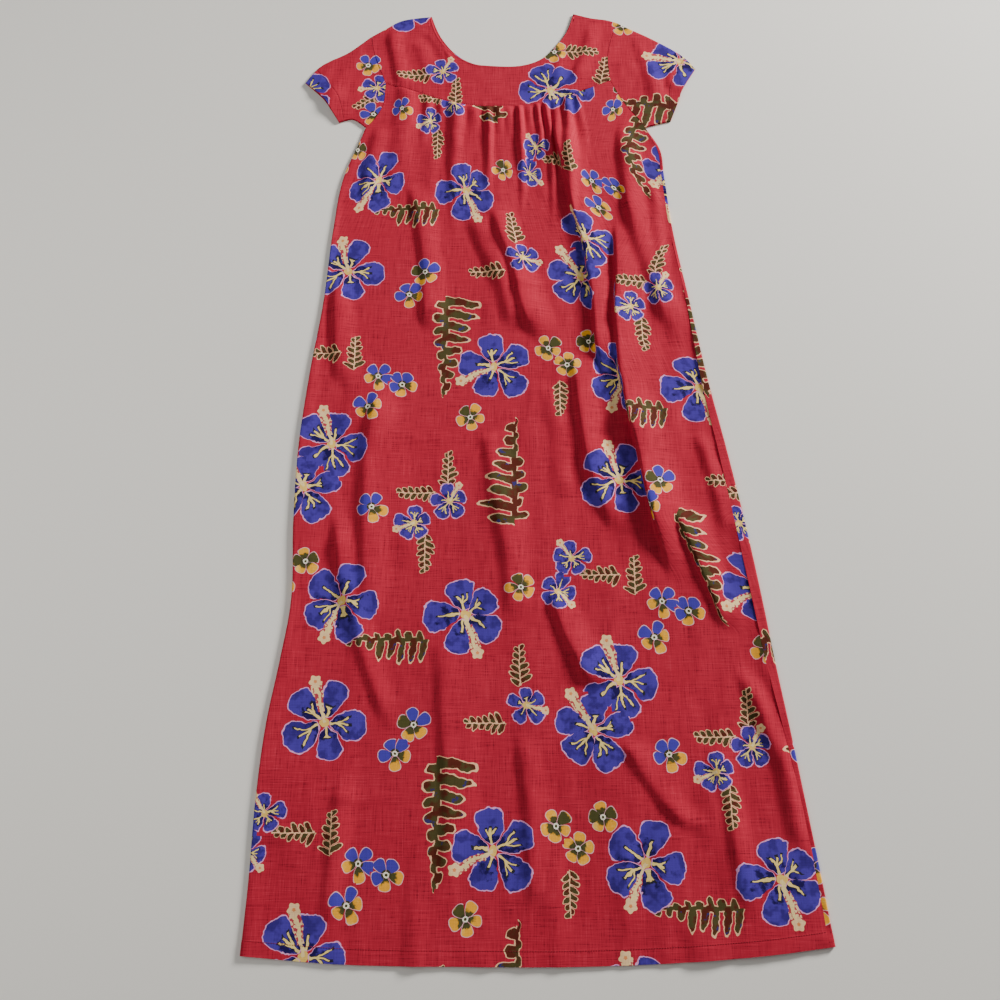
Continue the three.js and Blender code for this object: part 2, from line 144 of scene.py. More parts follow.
skirtTable = {  # from hem to armpits
    "y": [-680, -600, -500, -415, -335, -265, -150, -50, 60, 180, 300, 390, 440, 476],
    "left": [-348, -344.7, -343, -337, -325, -316, -319.5, -319.5, -311, -297, -289, -277.5, -261, -248.5],
    "right": [349, 340, 327.5, 316.5, 305.5, 297, 281, 264.5, 244.5, 226.5, 208.5, 201, 196, 176],
    "frontUnder": [9, 10, 11, 12, 13, 13, 12, 11, 10, 9, 8, 6, 4, 2.2],
    "backShows": [7, 6, 5.5, 9, 12.5, 13.5, 14, 12.5, 9.5, 5, 4.5, 4.5, 4, 2.2],
    "roll": [1.2, 1.5, 1.7, 1.9, 1.9, 2.1, 2.1, 1.9, 1.8, 1.7, 1.6, 1.4, 1.2, 1],
}
hemTable = {
    "x": [-348, -240, -85, 80, 182, 283, 348],
    "y": [-680, -688.5, -691.5, -690.8, -686.3, -678, -670],
}
seamTable = {  # the curved yoke seam
    "x": [-221, -176.4, -141.6, -106.7, -72.2, -37.6, 5.5, 49, 88.4, 126.5],
    "y": [557.5, 542.6, 529.5, 519.5, 515.4, 515.4, 519.6, 531, 546.7, 563.5],
}

leftEdge, rightEdge = column(skirtTable, "y", "left"), column(skirtTable, "y", "right")
frontUnder, backShows = column(skirtTable, "y", "frontUnder"), column(skirtTable, "y", "backShows")
edgeRoll = column(skirtTable, "y", "roll")
hemHeight = column(hemTable, "x", "y")
seamHeight = column(seamTable, "x", "y")

armholeLeft = {
    "lower": curve(outline["armpitLeft"], (-236, 492), (-223.5, 519.5), outline["yokeLeft"]),
    "upper": curve(outline["yokeLeft"], (-231, 585.3), (-242, 619.8), outline["shoulderLeft"]),
}
armholeRight = {
    "lower": curve(outline["armpitRight"], (168, 491), (144, 525.1), outline["yokeRight"]),
    "upper": curve(outline["yokeRight"], (123.5, 597), (126, 626), outline["shoulderRight"]),
}
shoulderSeamLeft = curve(outline["shoulderLeft"], (-226.5, 660.7), (-198.5, 678.4), outline["neckLeft"])
shoulderSeamRight = curve(outline["neckRight"], (99.5, 683.5), (122, 680), outline["shoulderRight"])
neckline = curve(
    outline["neckLeft"], (-139.2, 650), (-116.7, 617.3), (-90.1, 597), (-63.7, 591.4),
    (-15.6, 590.8), (19.7, 603.8), (44.2, 630.8), (61, 658), outline["neckRight"],
)

armpitShare = 0.93  # of the way up a skirt panel's side


def hemPoint(s):
    x = hemTable["x"][0] + s * (hemTable["x"][-1] - hemTable["x"][0])
    return np.stack([x, hemHeight(x)], -1)


def seamPoint(s):
    x = seamTable["x"][0] + s * (seamTable["x"][-1] - seamTable["x"][0])
    return np.stack([x, seamHeight(x)], -1)


def sideLine(edge, hemEnd, armpit, armhole):
    def at(v):
        y = hemEnd + (armpit[1] - hemEnd) * np.minimum(v / armpitShare, 1)
        body = np.stack([edge(y), y], -1)
        return np.where((v > armpitShare)[..., None], armhole((v - armpitShare) / (1 - armpitShare)), body)

    return at


skirtPlan = patch(
    hemPoint,
    seamPoint,
    sideLine(leftEdge, hemTable["y"][0], outline["armpitLeft"], armholeLeft["lower"]),
    sideLine(rightEdge, hemTable["y"][-1], outline["armpitRight"], armholeRight["lower"]),
    power=14,
)


laidPoints = {}


# A closed thin shell about a grid of points on the cloth's middle. Faces can be left out of the
# grid, a ring closes on itself, and outward says which side is the printed one.
def clothShell(name, points, clothPlace, thick, keep=None, ring=False, outward=1):
    laidPoints[name] = points
    rows, columns = points.shape[:2]
    index = np.arange(rows * columns).reshape(rows, columns)
    right = np.roll(index, -1, axis=1) if ring else index[:, 1:]
    left = index if ring else index[:, :-1]
    quads = np.stack([left[:-1], right[:-1], right[1:], left[1:]], -1)
    if keep is not None:
        quads = quads[keep]
    quads = quads.reshape(-1, 4)
    if outward < 0:
        quads = quads[:, ::-1]
    used = np.unique(quads)
    renumber = np.full(rows * columns, -1)
    renumber[used] = np.arange(len(used))
    quads = renumber[quads]
    middle = points.reshape(-1, 3)[used]
    place = clothPlace.reshape(-1, 2)[used]
    half = np.broadcast_to(thick, points.shape[:2]).reshape(-1, 1)[used] / 2

    first, second, third, fourth = (middle[quads[:, corner]] for corner in range(4))
    faceNormals = np.cross(third - first, fourth - second)
    normals = np.zeros_like(middle)
    for corner in range(4):
        np.add.at(normals, quads[:, corner], faceNormals)
    normals /= np.maximum(np.linalg.norm(normals, axis=1, keepdims=True), 1e-9)

    inner = len(middle)
    edges = np.concatenate([quads[:, [i, (i + 1) % 4]] for i in range(4)])
    keys = edges[:, 0] * inner + edges[:, 1]
    free = edges[~np.isin(keys, edges[:, 1] * inner + edges[:, 0])]
    rims = np.stack([free[:, 1], free[:, 0], free[:, 0] + inner, free[:, 1] + inner], -1)
    faces = np.concatenate([quads, quads[:, ::-1] + inner, rims])
    corners = np.concatenate([middle + normals * half, middle - normals * half]) * mm

    mesh = bpy.data.meshes.new(name)
    mesh.from_pydata(corners.tolist(), [], faces.tolist())
    mesh.polygons.foreach_set("use_smooth", np.ones(len(faces), bool))
    ends = np.empty(len(mesh.edges) * 2, int)
    mesh.edges.foreach_get("vertices", ends)
    ends = np.sort(ends.reshape(-1, 2), axis=1)
    cutEdges = np.sort(np.concatenate([free, free + inner]), axis=1)
    sharp = np.isin(ends[:, 0] * 2 * inner + ends[:, 1], cutEdges[:, 0] * 2 * inner + cutEdges[:, 1])
    mesh.edges.foreach_set("use_edge_sharp", sharp)  # a thin cloth's cut edge isn't rounded
    addPrint(mesh, faces, np.concatenate([place, place]), name)
    piece = bpy.data.objects.new(name, mesh)
    bpy.context.scene.collection.objects.link(piece)
    mesh.materials.append(printedCotton)
    print(f"{name}: {len(faces) * 2} triangles")
    return piece


# The print: one repeat charted on the cloth, in mm across and down, with each motif's
# direction in degrees. A flower points along its stamen and a fern to its tip.
motifs = {
    "bigBloom": {"layer": "bloom", "kind": 1, "size": 50, "reach": (1.25, 1.15)},
    "smallBloom": {"layer": "bloom", "kind": 2, "size": 24, "reach": (1.3, 1.2)},
    "bluePansy": {"layer": "pansy", "kind": 1, "size": 20, "reach": (1.15, 1.15)},
    "goldPansy": {"layer": "pansy", "kind": 2, "size": 19, "reach": (1.15, 1.15)},
    "longFern": {"layer": "fern", "kind": 1, "size": 84, "reach": (1.15, 0.75)},
    "sideFern": {"layer": "fern", "kind": 1, "size": 60, "reach": (1.15, 0.75)},
    "smallFern": {"layer": "fern", "kind": 2, "size": 31, "reach": (1.1, 0.55)},
}
largestMotif = 100  # from its centre to its tip
motifMargin = 8.0  # how far outside a motif's reach a face still takes it
repeat = {"down": 640, "across": 380, "drop": 320}
onCloth = {  # where on the printed cloth the pieces were cut
    "front": 464.5,
    "back": 598,
    "top": 744.5,
    "yokeBelowTop": 60,
    "sleeveUnder": 700,  # so that a sleeve's two layers show different motifs
}
repeatChart = [
    ("bigBloom", 190, 145, 105), ("bigBloom", 157, 206, 122), ("bigBloom", 33, 348, 205),
    ("bigBloom", 215, 362, 247), ("bigBloom", 376, 380, 287), ("bigBloom", 200, 517, 105),
    ("smallBloom", 115, 30, -45), ("smallBloom", 134, 625, 126), ("smallBloom", 73, 176, -15),
    ("smallBloom", 352, 226, 60), ("smallBloom", 306, 257, 200),
    ("bluePansy", 250, 43, 200), ("bluePansy", 284, 56, 270), ("bluePansy", 238, 90, 290),
    ("bluePansy", 290, 555, 268), ("bluePansy", 312, 520, 240), ("bluePansy", 249, 236, 275),
    ("goldPansy", 379, 105, 135), ("goldPansy", 108, 320, 120), ("goldPansy", 165, 310, 100),
    ("goldPansy", 134, 346, 225), ("goldPansy", 67, 25, 180),
    ("longFern", 342, 0, 270), ("longFern", 60, 500, 90), ("sideFern", 270, 413, 180),
    ("smallFern", 170, 8, 180), ("smallFern", 216, 7, 90), ("smallFern", 65, 125, 90),
    ("smallFern", 20, 198, 180), ("smallFern", 350, 180, 90), ("smallFern", 307, 215, 180),
    ("smallFern", 321, 300, 270), ("smallFern", 123, 398, 270),
]
# The small pieces are cut from other places on the cloth: motifs where they lie on the dress
yokeChart = [
    ("bigBloom", 34, 545, -62), ("bigBloom", -197, 706, 230), ("smallBloom", -133, 580, 62),
    ("smallFern", -179, 573, 180), ("smallFern", -113, 542, 90), ("smallFern", 84, 617, 0),
    ("smallFern", 116, 583, 80), ("goldPansy", 41, 617, 200), ("goldPansy", 150, 668, 90),
    ("bluePansy", -250, 592, 262),
]
sleeveRightChart = [
    ("bigBloom", -352, 535, 150), ("bluePansy", -250, 592, 262), ("smallBloom", -234, 549, 185),
    ("smallFern", -248, 525, 215), ("bluePansy", -238, 500, 250),
]
sleeveLeftChart = [
    ("bigBloom", 236, 598, 168), ("longFern", 168, 520, 175), ("goldPansy", 150, 668, 90),
]


# Every copy of a charted motif that can lie on a piece: its kind, centre, direction and its row
# in the chart. The copies of one row are alike, as a screen prints them.
def laidMotifs(chart, places, repeats):
    low, high = places.min(axis=0) - largestMotif, places.max(axis=0) + largestMotif
    copies = []
    for row, (kind, across, up, angle) in enumerate(chart):
        if not repeats:
            copies.append((kind, across, up, angle, row))
            continue
        first = math.floor((low[0] - across) / repeat["across"])
        last = math.ceil((high[0] - across) / repeat["across"])
        for i in range(first, last + 1):
            down = up + i * repeat["drop"]
            top = math.floor((-high[1] - down) / repeat["down"])
            bottom = math.ceil((-low[1] - down) / repeat["down"])
            for j in range(top, bottom + 1):
                copies.append((kind, across + i * repeat["across"], -down - j * repeat["down"], angle, row))
    return [c for c in copies if low[0] < c[1] < high[0] and low[1] < c[2] < high[1]]


printCharts = {
    "front_skirt": (repeatChart, True),
    "back_skirt": (repeatChart, True),
    "front_yoke": (yokeChart, False),
    "back_yoke": (repeatChart, True),
    "sleeve_right": (sleeveRightChart, False),
    "sleeve_left": (sleeveLeftChart, False),
}


# Each face takes its nearest motif of each layer, and its corners get their places in that
# motif, in motif sizes, with the motif's kind and one of 32 shares that tell the rows apart
def addPrint(mesh, faces, places, piece):
    chart, repeats = printCharts[piece]
    middles = places[faces].mean(axis=1)
    copies = laidMotifs(chart, places, repeats)
    for layer in ("fern", "bloom", "pansy"):
        found = np.zeros((len(faces), 4, 3))
        nearest = np.full(len(faces), motifMargin)
        for name, across, up, angle, row in copies:
            motif = motifs[name]
            if motif["layer"] != layer:
                continue
            turn = math.radians(angle)
            axes = np.array([[math.cos(turn), -math.sin(turn)], [math.sin(turn), math.cos(turn)]])
            centre = (middles - (across, up)) @ axes / motif["size"]
            outside = np.linalg.norm(centre / motif["reach"], axis=1) - 1
            outside = outside * motif["size"] * motif["reach"][1]
            closer = outside < nearest
            nearest[closer] = outside[closer]
            found[closer, :, :2] = (places[faces[closer]] - (across, up)) @ axes / motif["size"]
            found[closer, :, 2] = motif["kind"] + (row * 13 % 32 + 0.5) / 32
        mesh.attributes.new(layer, "FLOAT_VECTOR", "CORNER").data.foreach_set("vector", found.ravel())
    flat = np.concatenate([places, np.zeros((len(places), 1))], 1)
    mesh.attributes.new("clothPlace", "FLOAT_VECTOR", "POINT").data.foreach_set("vector", flat.ravel())


def linear(hexColour, alpha=1):
    channels = [int(hexColour[i:i + 2], 16) / 255 for i in (1, 3, 5)]
    return tuple(c / 12.92 if c <= 0.04045 else ((c + 0.055) / 1.055) ** 2.4 for c in channels) + (alpha,)


# One node with its settings, and its inputs as values or as links from other nodes
def addNode(tree, kind, inputs, output=0, **settings):
    node = tree.nodes.new("ShaderNode" + kind)
    for setting, value in settings.items():
        setattr(node, setting, value)
    for socket, value in (inputs if isinstance(inputs, dict) else dict(enumerate(inputs))).items():
        if isinstance(value, bpy.types.NodeSocket):
            tree.links.new(value, node.inputs[socket])
        else:
            node.inputs[socket].default_value = value
    return node.outputs[output]


# A formula as rows of name, operation and inputs, each a number or an earlier row's name
def addFormula(tree, values, steps):
    for name, operation, *inputs in steps:
        sources = [values[i] if isinstance(i, str) else i for i in inputs]
        values[name] = addNode(tree, "Math", sources, operation=operation)
    return values


# Lays colours over one another: each row has a mask's name and a colour
def layColours(tree, values, ground, layers):
    for mask, colour in layers:
        inputs = {0: values[mask], 6: ground, 7: linear(colour) if isinstance(colour, str) else colour}
        ground = addNode(tree, "Mix", inputs, output=2, data_type="RGBA")
    return ground


# A layer's place in its motif, with a hand-drawn wobble, and which kind and copy it is
def motifPlace(tree, layer, wobble, scale):
    place = addNode(tree, "Attribute", [], output=1, attribute_name=layer)
    parts = addNode(tree, "SeparateXYZ", [place]).node.outputs
    kind = addNode(tree, "Math", [parts[2]], operation="FLOOR")
    copy = addNode(tree, "Math", [parts[2]], operation="FRACT")
    noise = {"Vector": place, "W": copy, "Scale": scale, "Detail": 2.0, "Roughness": 0.62}
    coarse = addNode(tree, "TexNoise", noise, output=1, noise_dimensions="4D")
    shifts = addNode(tree, "SeparateXYZ", [coarse]).node.outputs
    brush = {"Vector": place, "W": copy, "Scale": scale * 1.3, "Detail": 4.0, "Roughness": 0.6}
    mottle = addNode(tree, "TexNoise", brush, noise_dimensions="4D")
    values = {"kind": kind, "copy": copy, "x0": parts[0], "y0": parts[1]}
    values.update({"shiftX": shifts[0], "shiftY": shifts[1], "mottle": mottle, "tint": shifts[2]})
    return addFormula(tree, values, [
        ("x1", "SUBTRACT", "shiftX", 0.5),
        ("y1", "SUBTRACT", "shiftY", 0.5),
        ("x", "MULTIPLY_ADD", "x1", wobble, "x0"),
        ("y", "MULTIPLY_ADD", "y1", wobble, "y0"),
        ("copyPlace", "MULTIPLY", "copy", 32.0),
        ("copyNumber", "FLOOR", "copyPlace"),
        ("isMotif", "GREATER_THAN", "kind", 0.5),
        ("isSmall", "GREATER_THAN", "kind", 1.5),
        ("xx", "MULTIPLY", "x", "x"),
        ("rr", "MULTIPLY_ADD", "y", "y", "xx"),
        ("radius", "SQRT", "rr"),
        ("angle", "ARCTAN2", "y", "x"),
    ])


petalTurn = math.tau / 5


# Five petals, each turned, lengthened and widened a little by its own luck: where a point lies
# along and aside of its petal's middle line, and petalEdge, which is 1 on the petal's outline
def addPetals(tree, v, offset, base, flare):
    addFormula(tree, v, [
        ("turns", "MULTIPLY_ADD", "angle", 1 / petalTurn, offset),
        ("fan", "FRACT", "turns"),
        ("number1", "FLOOR", "turns"),
        ("number", "WRAP", "number1", 5.0, 0.0),
        ("luckPlace", "MULTIPLY_ADD", "copyNumber", 7.0, "number"),
    ])
    luck = addNode(tree, "TexWhiteNoise", {"W": v["luckPlace"]}, output=1, noise_dimensions="1D")
    v["turnLuck"], v["longLuck"], v["wideLuck"] = addNode(tree, "SeparateXYZ", [luck]).node.outputs
    addFormula(tree, v, [
        ("fanTurn1", "MULTIPLY_ADD", "fan", petalTurn, -petalTurn / 2 - 0.13),
        ("fanTurn", "MULTIPLY_ADD", "turnLuck", 0.26, "fanTurn1"),
        ("fanCos", "COSINE", "fanTurn"),
        ("fanSin", "SINE", "fanTurn"),
        ("stretch", "MULTIPLY_ADD", "longLuck", 0.26, 0.9),
        ("reach", "MULTIPLY", "radius", "stretch"),
        ("along", "MULTIPLY", "reach", "fanCos"),
        ("side", "MULTIPLY", "radius", "fanSin"),
        ("aside", "ABSOLUTE", "side"),
        ("widen", "MULTIPLY_ADD", "wideLuck", 0.24, 0.88),
        ("petalWide1", "MULTIPLY_ADD", "along", flare, base),
        ("petalWide", "MULTIPLY", "petalWide1", "widen"),
        ("across1", "DIVIDE", "aside", "petalWide"),
        ("across2", "MULTIPLY", "across1", "across1"),
        ("along1", "MULTIPLY_ADD", "along", 1 / 0.44, -0.58 / 0.44),
        ("along2", "ABSOLUTE", "along1"),
        ("along3", "POWER", "along2", 2.5),
        ("petal2", "ADD", "along3", "across2"),
        ("petalEdge", "SQRT", "petal2"),
        ("inPetal", "LESS_THAN", "petalEdge", 1.0),
    ])


# Hibiscus: violet-blue petals outlined in pink, navy near the heart, a forked cream ray on each
# petal, and a cream stamen column edged with red dots that ends in a lobed knob
def layBlooms(tree, ground):
    v = motifPlace(tree, "bloom", wobble=0.26, scale=3.1)
    addPetals(tree, v, offset=0.0, base=0.13, flare=0.33)
    addFormula(tree, v, [
        ("edgeLimit", "MULTIPLY_ADD", "isSmall", 0.06, 1.065),
        ("inFlower1", "LESS_THAN", "petalEdge", "edgeLimit"),
        ("inFlower", "MULTIPLY", "inFlower1", "isMotif"),
        ("shade1", "MULTIPLY_ADD", "mottle", 12.0, -3.6),
        ("shade2", "MULTIPLY_ADD", "along", -5.5, "shade1"),
        ("deep1", "MULTIPLY_ADD", "tint", 9.0, -4.3),
        ("rayEnd", "MULTIPLY_ADD", "wideLuck", 0.3, 0.42),
        ("rayOn", "LESS_THAN", "along", "rayEnd"),
        ("rayWide", "MULTIPLY_ADD", "isSmall", 0.014, 0.023),
        ("rayBroad", "MULTIPLY_ADD", "along", -0.03, 0.04),
        ("ray1", "LESS_THAN", "aside", "rayBroad"),
        ("fork1", "MULTIPLY_ADD", "along", -0.62, 0.2),
        ("fork2", "ADD", "fork1", "aside"),
        ("fork3", "ABSOLUTE", "fork2"),
        ("fork4", "LESS_THAN", "fork3", "rayWide"),
        ("fork5", "GREATER_THAN", "along", 0.32),
        ("forked", "GREATER_THAN", "turnLuck", 0.35),
        ("fork6", "MULTIPLY", "fork4", "fork5"),
        ("fork7", "MULTIPLY", "fork6", "forked"),
        ("ray2", "MAXIMUM", "ray1", "fork7"),
        ("inRay", "MULTIPLY", "ray2", "rayOn"),
        ("lineEnd", "ADD", "rayEnd", 0.05),
        ("lineOn", "LESS_THAN", "along", "lineEnd"),
        ("lineWide", "ADD", "rayWide", 0.02),
        ("lineBroad", "ADD", "rayBroad", 0.02),
        ("line1", "LESS_THAN", "aside", "lineBroad"),
        ("line2", "LESS_THAN", "fork3", "lineWide"),
        ("line3", "MULTIPLY", "line2", "fork5"),
        ("line5", "MULTIPLY", "line3", "forked"),
        ("line4", "MAXIMUM", "line1", "line5"),
        ("inLine", "MULTIPLY", "line4", "lineOn"),
        ("heartLimit", "MULTIPLY_ADD", "isSmall", 0.06, 0.115),
        ("heart1", "LESS_THAN", "radius", "heartLimit"),
        ("inHeart", "MULTIPLY", "heart1", "isMotif"),
        ("stemAside", "ABSOLUTE", "y"),
        ("stemOn1", "GREATER_THAN", "x", 0.0),
        ("stemOn2", "LESS_THAN", "x", 1.0),
        ("stemOn3", "MULTIPLY", "stemOn1", "stemOn2"),
        ("stemOn", "MULTIPLY", "stemOn3", "isMotif"),
        ("stemWide", "MULTIPLY_ADD", "isSmall", 0.02, 0.042),
        ("stem1", "LESS_THAN", "stemAside", "stemWide"),
        ("inStem", "MULTIPLY", "stem1", "stemOn"),
        ("rimWide", "MULTIPLY_ADD", "x", 0.07, 0.07),
        ("rim1", "LESS_THAN", "stemAside", "rimWide"),
        ("rim2", "GREATER_THAN", "x", 0.3),
        ("rim3", "MULTIPLY", "rim1", "rim2"),
        ("inRim", "MULTIPLY", "rim3", "stemOn"),
        ("knobX", "SUBTRACT", "x0", 1.05),
        ("knobXX", "MULTIPLY", "knobX", "knobX"),
        ("knobRR", "MULTIPLY_ADD", "y0", "y0", "knobXX"),
        ("knobR", "SQRT", "knobRR"),
        ("knobAngle", "ARCTAN2", "y0", "knobX"),
        ("knobLobes1", "MULTIPLY", "knobAngle", 5.0),
        ("knobLobes2", "SINE", "knobLobes1"),
        ("knobSize", "MULTIPLY_ADD", "isSmall", 0.06, 0.15),
        ("knobLimit", "MULTIPLY_ADD", "knobLobes2", 0.022, "knobSize"),
        ("knob1", "LESS_THAN", "knobR", "knobLimit"),
        ("inKnob", "MULTIPLY", "knob1", "isMotif"),
        ("knobDot1", "MULTIPLY", "knobLimit", 0.28),
        ("knobDot2", "LESS_THAN", "knobR", "knobDot1"),
        ("inKnobDot", "MULTIPLY", "knobDot2", "isMotif"),
    ])
    dots = {"Vector": addNode(tree, "Attribute", [], output=1, attribute_name="bloom"), "Scale": 15.0}
    v["dotPlace"] = addNode(tree, "TexVoronoi", dots)
    addFormula(tree, v, [("dot1", "LESS_THAN", "dotPlace", 0.5), ("inDot", "MULTIPLY", "dot1", "inRim")])
    for name in ("shade2", "deep1"):
        v[name] = addNode(tree, "Clamp", [v[name]])
    petal = layColours(tree, v, linear("#4a379a"), [("deep1", "#38277a"), ("shade2", "#1f134e")])
    petal = layColours(tree, v, petal, [("inLine", "#2a2836"), ("inRay", "#f5d782")])
    flower = layColours(tree, v, linear("#e7a2d0"), [("inPetal", petal)])
    return layColours(tree, v, ground, [
        ("inFlower", flower), ("inHeart", "#efc364"), ("inRim", "#b8404c"), ("inDot", "#f6cf9c"),
        ("inStem", "#f7d894"), ("inKnob", "#f7cd97"), ("inKnobDot", "#e58f58")])


# Pansies: two or three blue petals, or all gold ones, shading to olive at a small pale ring. A
# petal with luck is olive all over.
def layPansies(tree, ground):
    v = motifPlace(tree, "pansy", wobble=0.15, scale=1.9)
    addPetals(tree, v, offset=0.5, base=0.15, flare=0.31)
    addFormula(tree, v, [
        ("inFlower1", "LESS_THAN", "petalEdge", 1.11),
        ("inFlower", "MULTIPLY", "inFlower1", "isMotif"),
        ("three", "GREATER_THAN", "copy", 0.45),
        ("upper1", "MULTIPLY_ADD", "three", -0.5, -2.5),
        ("upper2", "ADD", "number", "upper1"),
        ("upper3", "ABSOLUTE", "upper2"),
        ("upper", "LESS_THAN", "upper3", 1.2),
        ("blue1", "SUBTRACT", 1.0, "isSmall"),
        ("inBlue", "MULTIPLY", "upper", "blue1"),
        ("gold1", "MULTIPLY_ADD", "mottle", 3.4, -3.15),
        ("gold2", "MULTIPLY_ADD", "along", 3.2, "gold1"),
        ("olive1", "GREATER_THAN", "wideLuck", 0.84),
        ("gold3", "MULTIPLY_ADD", "olive1", -1.6, "gold2"),
        ("inGold1", "MULTIPLY", "gold3", 2.2),
        ("gloss1", "MULTIPLY_ADD", "shiftX", 6.0, -3.2),
        ("ring1", "SUBTRACT", "radius", 0.13),
        ("ring2", "ABSOLUTE", "ring1"),
        ("ring3", "LESS_THAN", "ring2", 0.045),
        ("inRing", "MULTIPLY", "ring3", "isMotif"),
        ("middle1", "LESS_THAN", "radius", 0.13),
        ("inMiddle", "MULTIPLY", "middle1", "isMotif"),
        ("heart1", "LESS_THAN", "radius", 0.3),
    ])
    v["inGold"] = addNode(tree, "Clamp", [v["inGold1"]])
    v["gloss"] = addNode(tree, "Clamp", [v["gloss1"]])
    gold = layColours(tree, v, linear("#f7ac2c"), [("gloss", "#fcc65c")])
    petal = layColours(tree, v, linear("#4d4a27"), [
        ("inGold", gold), ("inBlue", "#473aa2"), ("heart1", "#3f3c26")])
    flower = layColours(tree, v, linear("#eab4bd"), [("inPetal", petal)])
    return layColours(tree, v, ground, [
        ("inFlower", flower), ("inMiddle", "#4a4524"), ("inRing", "#f8f2d6")])


# Ferns: a stem with fingers on both sides that shorten to the tip, longer on one side. A small
# fern has a cream stem and rounder leaves.
def layFerns(tree, ground):
    v = motifPlace(tree, "fern", wobble=0.16, scale=4.6)
    addFormula(tree, v, [
        ("side", "ABSOLUTE", "y"),
        ("upper", "GREATER_THAN", "y", 0.0),
        ("pitch", "MULTIPLY_ADD", "isSmall", 0.04, 0.23),
        ("slant", "MULTIPLY_ADD", "isSmall", -0.3, -0.16),
        ("leaf1", "MULTIPLY_ADD", "side", "slant", "x"),
        ("leaf2", "DIVIDE", "leaf1", "pitch"),
        ("leaf3", "MULTIPLY_ADD", "upper", 0.4, "leaf2"),
        ("leafShare", "FRACT", "leaf3"),
        ("leafNumber1", "FLOOR", "leaf3"),
        ("leafNumber2", "MULTIPLY_ADD", "upper", 31.0, "leafNumber1"),
        ("leafNumber", "MULTIPLY_ADD", "copyNumber", 57.0, "leafNumber2"),
        ("leafAside", "SUBTRACT", "leafShare", 0.5),
        ("baseLeaf", "DIVIDE", -0.93, "pitch"),
        ("pastBase", "GREATER_THAN", "leafNumber1", "baseLeaf"),
        ("stemOn1", "GREATER_THAN", "x", -0.84),
        ("stemEnd", "MULTIPLY_ADD", "isSmall", -0.02, 0.83),
        ("stemOn2", "LESS_THAN", "x", "stemEnd"),
        ("tipLeaf", "MULTIPLY_ADD", "isSmall", -1.2, 3.4),
        ("beforeTip", "LESS_THAN", "leafNumber1", "tipLeaf"),
        ("inReach", "MULTIPLY", "pastBase", "beforeTip"),
        ("stemOn", "MULTIPLY", "stemOn1", "stemOn2"),
        ("isLong", "SUBTRACT", 1.0, "isSmall"),
    ])
    v["leafLuck"] = addNode(tree, "TexWhiteNoise", {"W": v["leafNumber"]}, noise_dimensions="1D")
    addFormula(tree, v, [
        ("sideLong1", "MULTIPLY_ADD", "upper", 0.32, 0.19),
        ("sideLong2", "MULTIPLY_ADD", "isSmall", 0.3, "sideLong1"),
        ("sideMost", "MULTIPLY_ADD", "isSmall", -0.1, 0.52),
        ("sideLong", "MINIMUM", "sideLong2", "sideMost"),
        ("taperRate", "MULTIPLY_ADD", "isSmall", 0.26, -0.7),
        ("taper1", "MULTIPLY_ADD", "taperRate", "x", 0.78),
        ("taper2", "MINIMUM", "taper1", 1.0),
        ("taper", "MULTIPLY", "taper2", "beforeTip"),
        ("luck", "MULTIPLY_ADD", "leafLuck", 0.45, 0.68),
        ("long1", "MULTIPLY", "taper", "luck"),
        ("long2", "MULTIPLY", "long1", "sideLong"),
        ("leafLong", "MAXIMUM", "long2", 0.01),
        ("reach1", "DIVIDE", "side", "leafLong"),
        ("reach2", "MULTIPLY", "reach1", "reach1"),
        ("reach4", "MULTIPLY", "reach2", "reach2"),
        ("leafThick", "MULTIPLY_ADD", "isSmall", 0.06, 0.31),
        ("thick1", "DIVIDE", "leafAside", "leafThick"),
        ("leafEdge", "MULTIPLY_ADD", "thick1", "thick1", "reach4"),
        ("stemWide1", "MULTIPLY_ADD", "x", -0.022, 0.034),
        ("stemWide", "MULTIPLY_ADD", "isSmall", -0.006, "stemWide1"),
        ("rimWide", "MULTIPLY_ADD", "isSmall", 0.004, 0.02),
        ("stemRim", "ADD", "stemWide", "rimWide"),
        ("onStem1", "LESS_THAN", "side", "stemWide"),
        ("onStem2", "MULTIPLY", "onStem1", "stemOn"),
        ("onStem", "MULTIPLY", "onStem2", "isLong"),
        ("onStemRim1", "LESS_THAN", "side", "stemRim"),
        ("onStemRim", "MULTIPLY", "onStemRim1", "stemOn"),
        ("onLeaf1", "LESS_THAN", "leafEdge", 1.0),
        ("onLeaf", "MULTIPLY", "onLeaf1", "inReach"),
        ("leafLimit", "MULTIPLY_ADD", "isSmall", 0.12, 1.48),
        ("onLeafRim1", "LESS_THAN", "leafEdge", "leafLimit"),
        ("onLeafRim", "MULTIPLY", "onLeafRim1", "inReach"),
        ("inFern1", "MAXIMUM", "onStem", "onLeaf"),
        ("vein1", "LESS_THAN", "side", 0.022),
        ("vein2", "MULTIPLY", "vein1", "isSmall"),
        ("vein", "SUBTRACT", 1.0, "vein2"),
        ("inFern2", "MULTIPLY", "inFern1", "vein"),
        ("inRim1", "MAXIMUM", "onStemRim", "onLeafRim"),
        ("inRim", "MULTIPLY", "inRim1", "isMotif"),
        ("inFern", "MULTIPLY", "inFern2", "inRim"),
        ("blue1", "GREATER_THAN", "mottle", 0.62),
        ("blue2", "MULTIPLY", "blue1", "isLong"),
        ("inBlue", "MULTIPLY", "blue2", "inFern"),
        ("brown1", "MULTIPLY_ADD", "shiftX", 9.0, -4.1),
    ])
    v["inBrown"] = addNode(tree, "Clamp", [v["brown1"]])
    leaf = layColours(tree, v, linear("#4d4526"), [("inBrown", "#582318"), ("inBlue", "#383068")])
    return layColours(tree, v, ground, [("inRim", "#f4bd92"), ("inFern", leaf)])
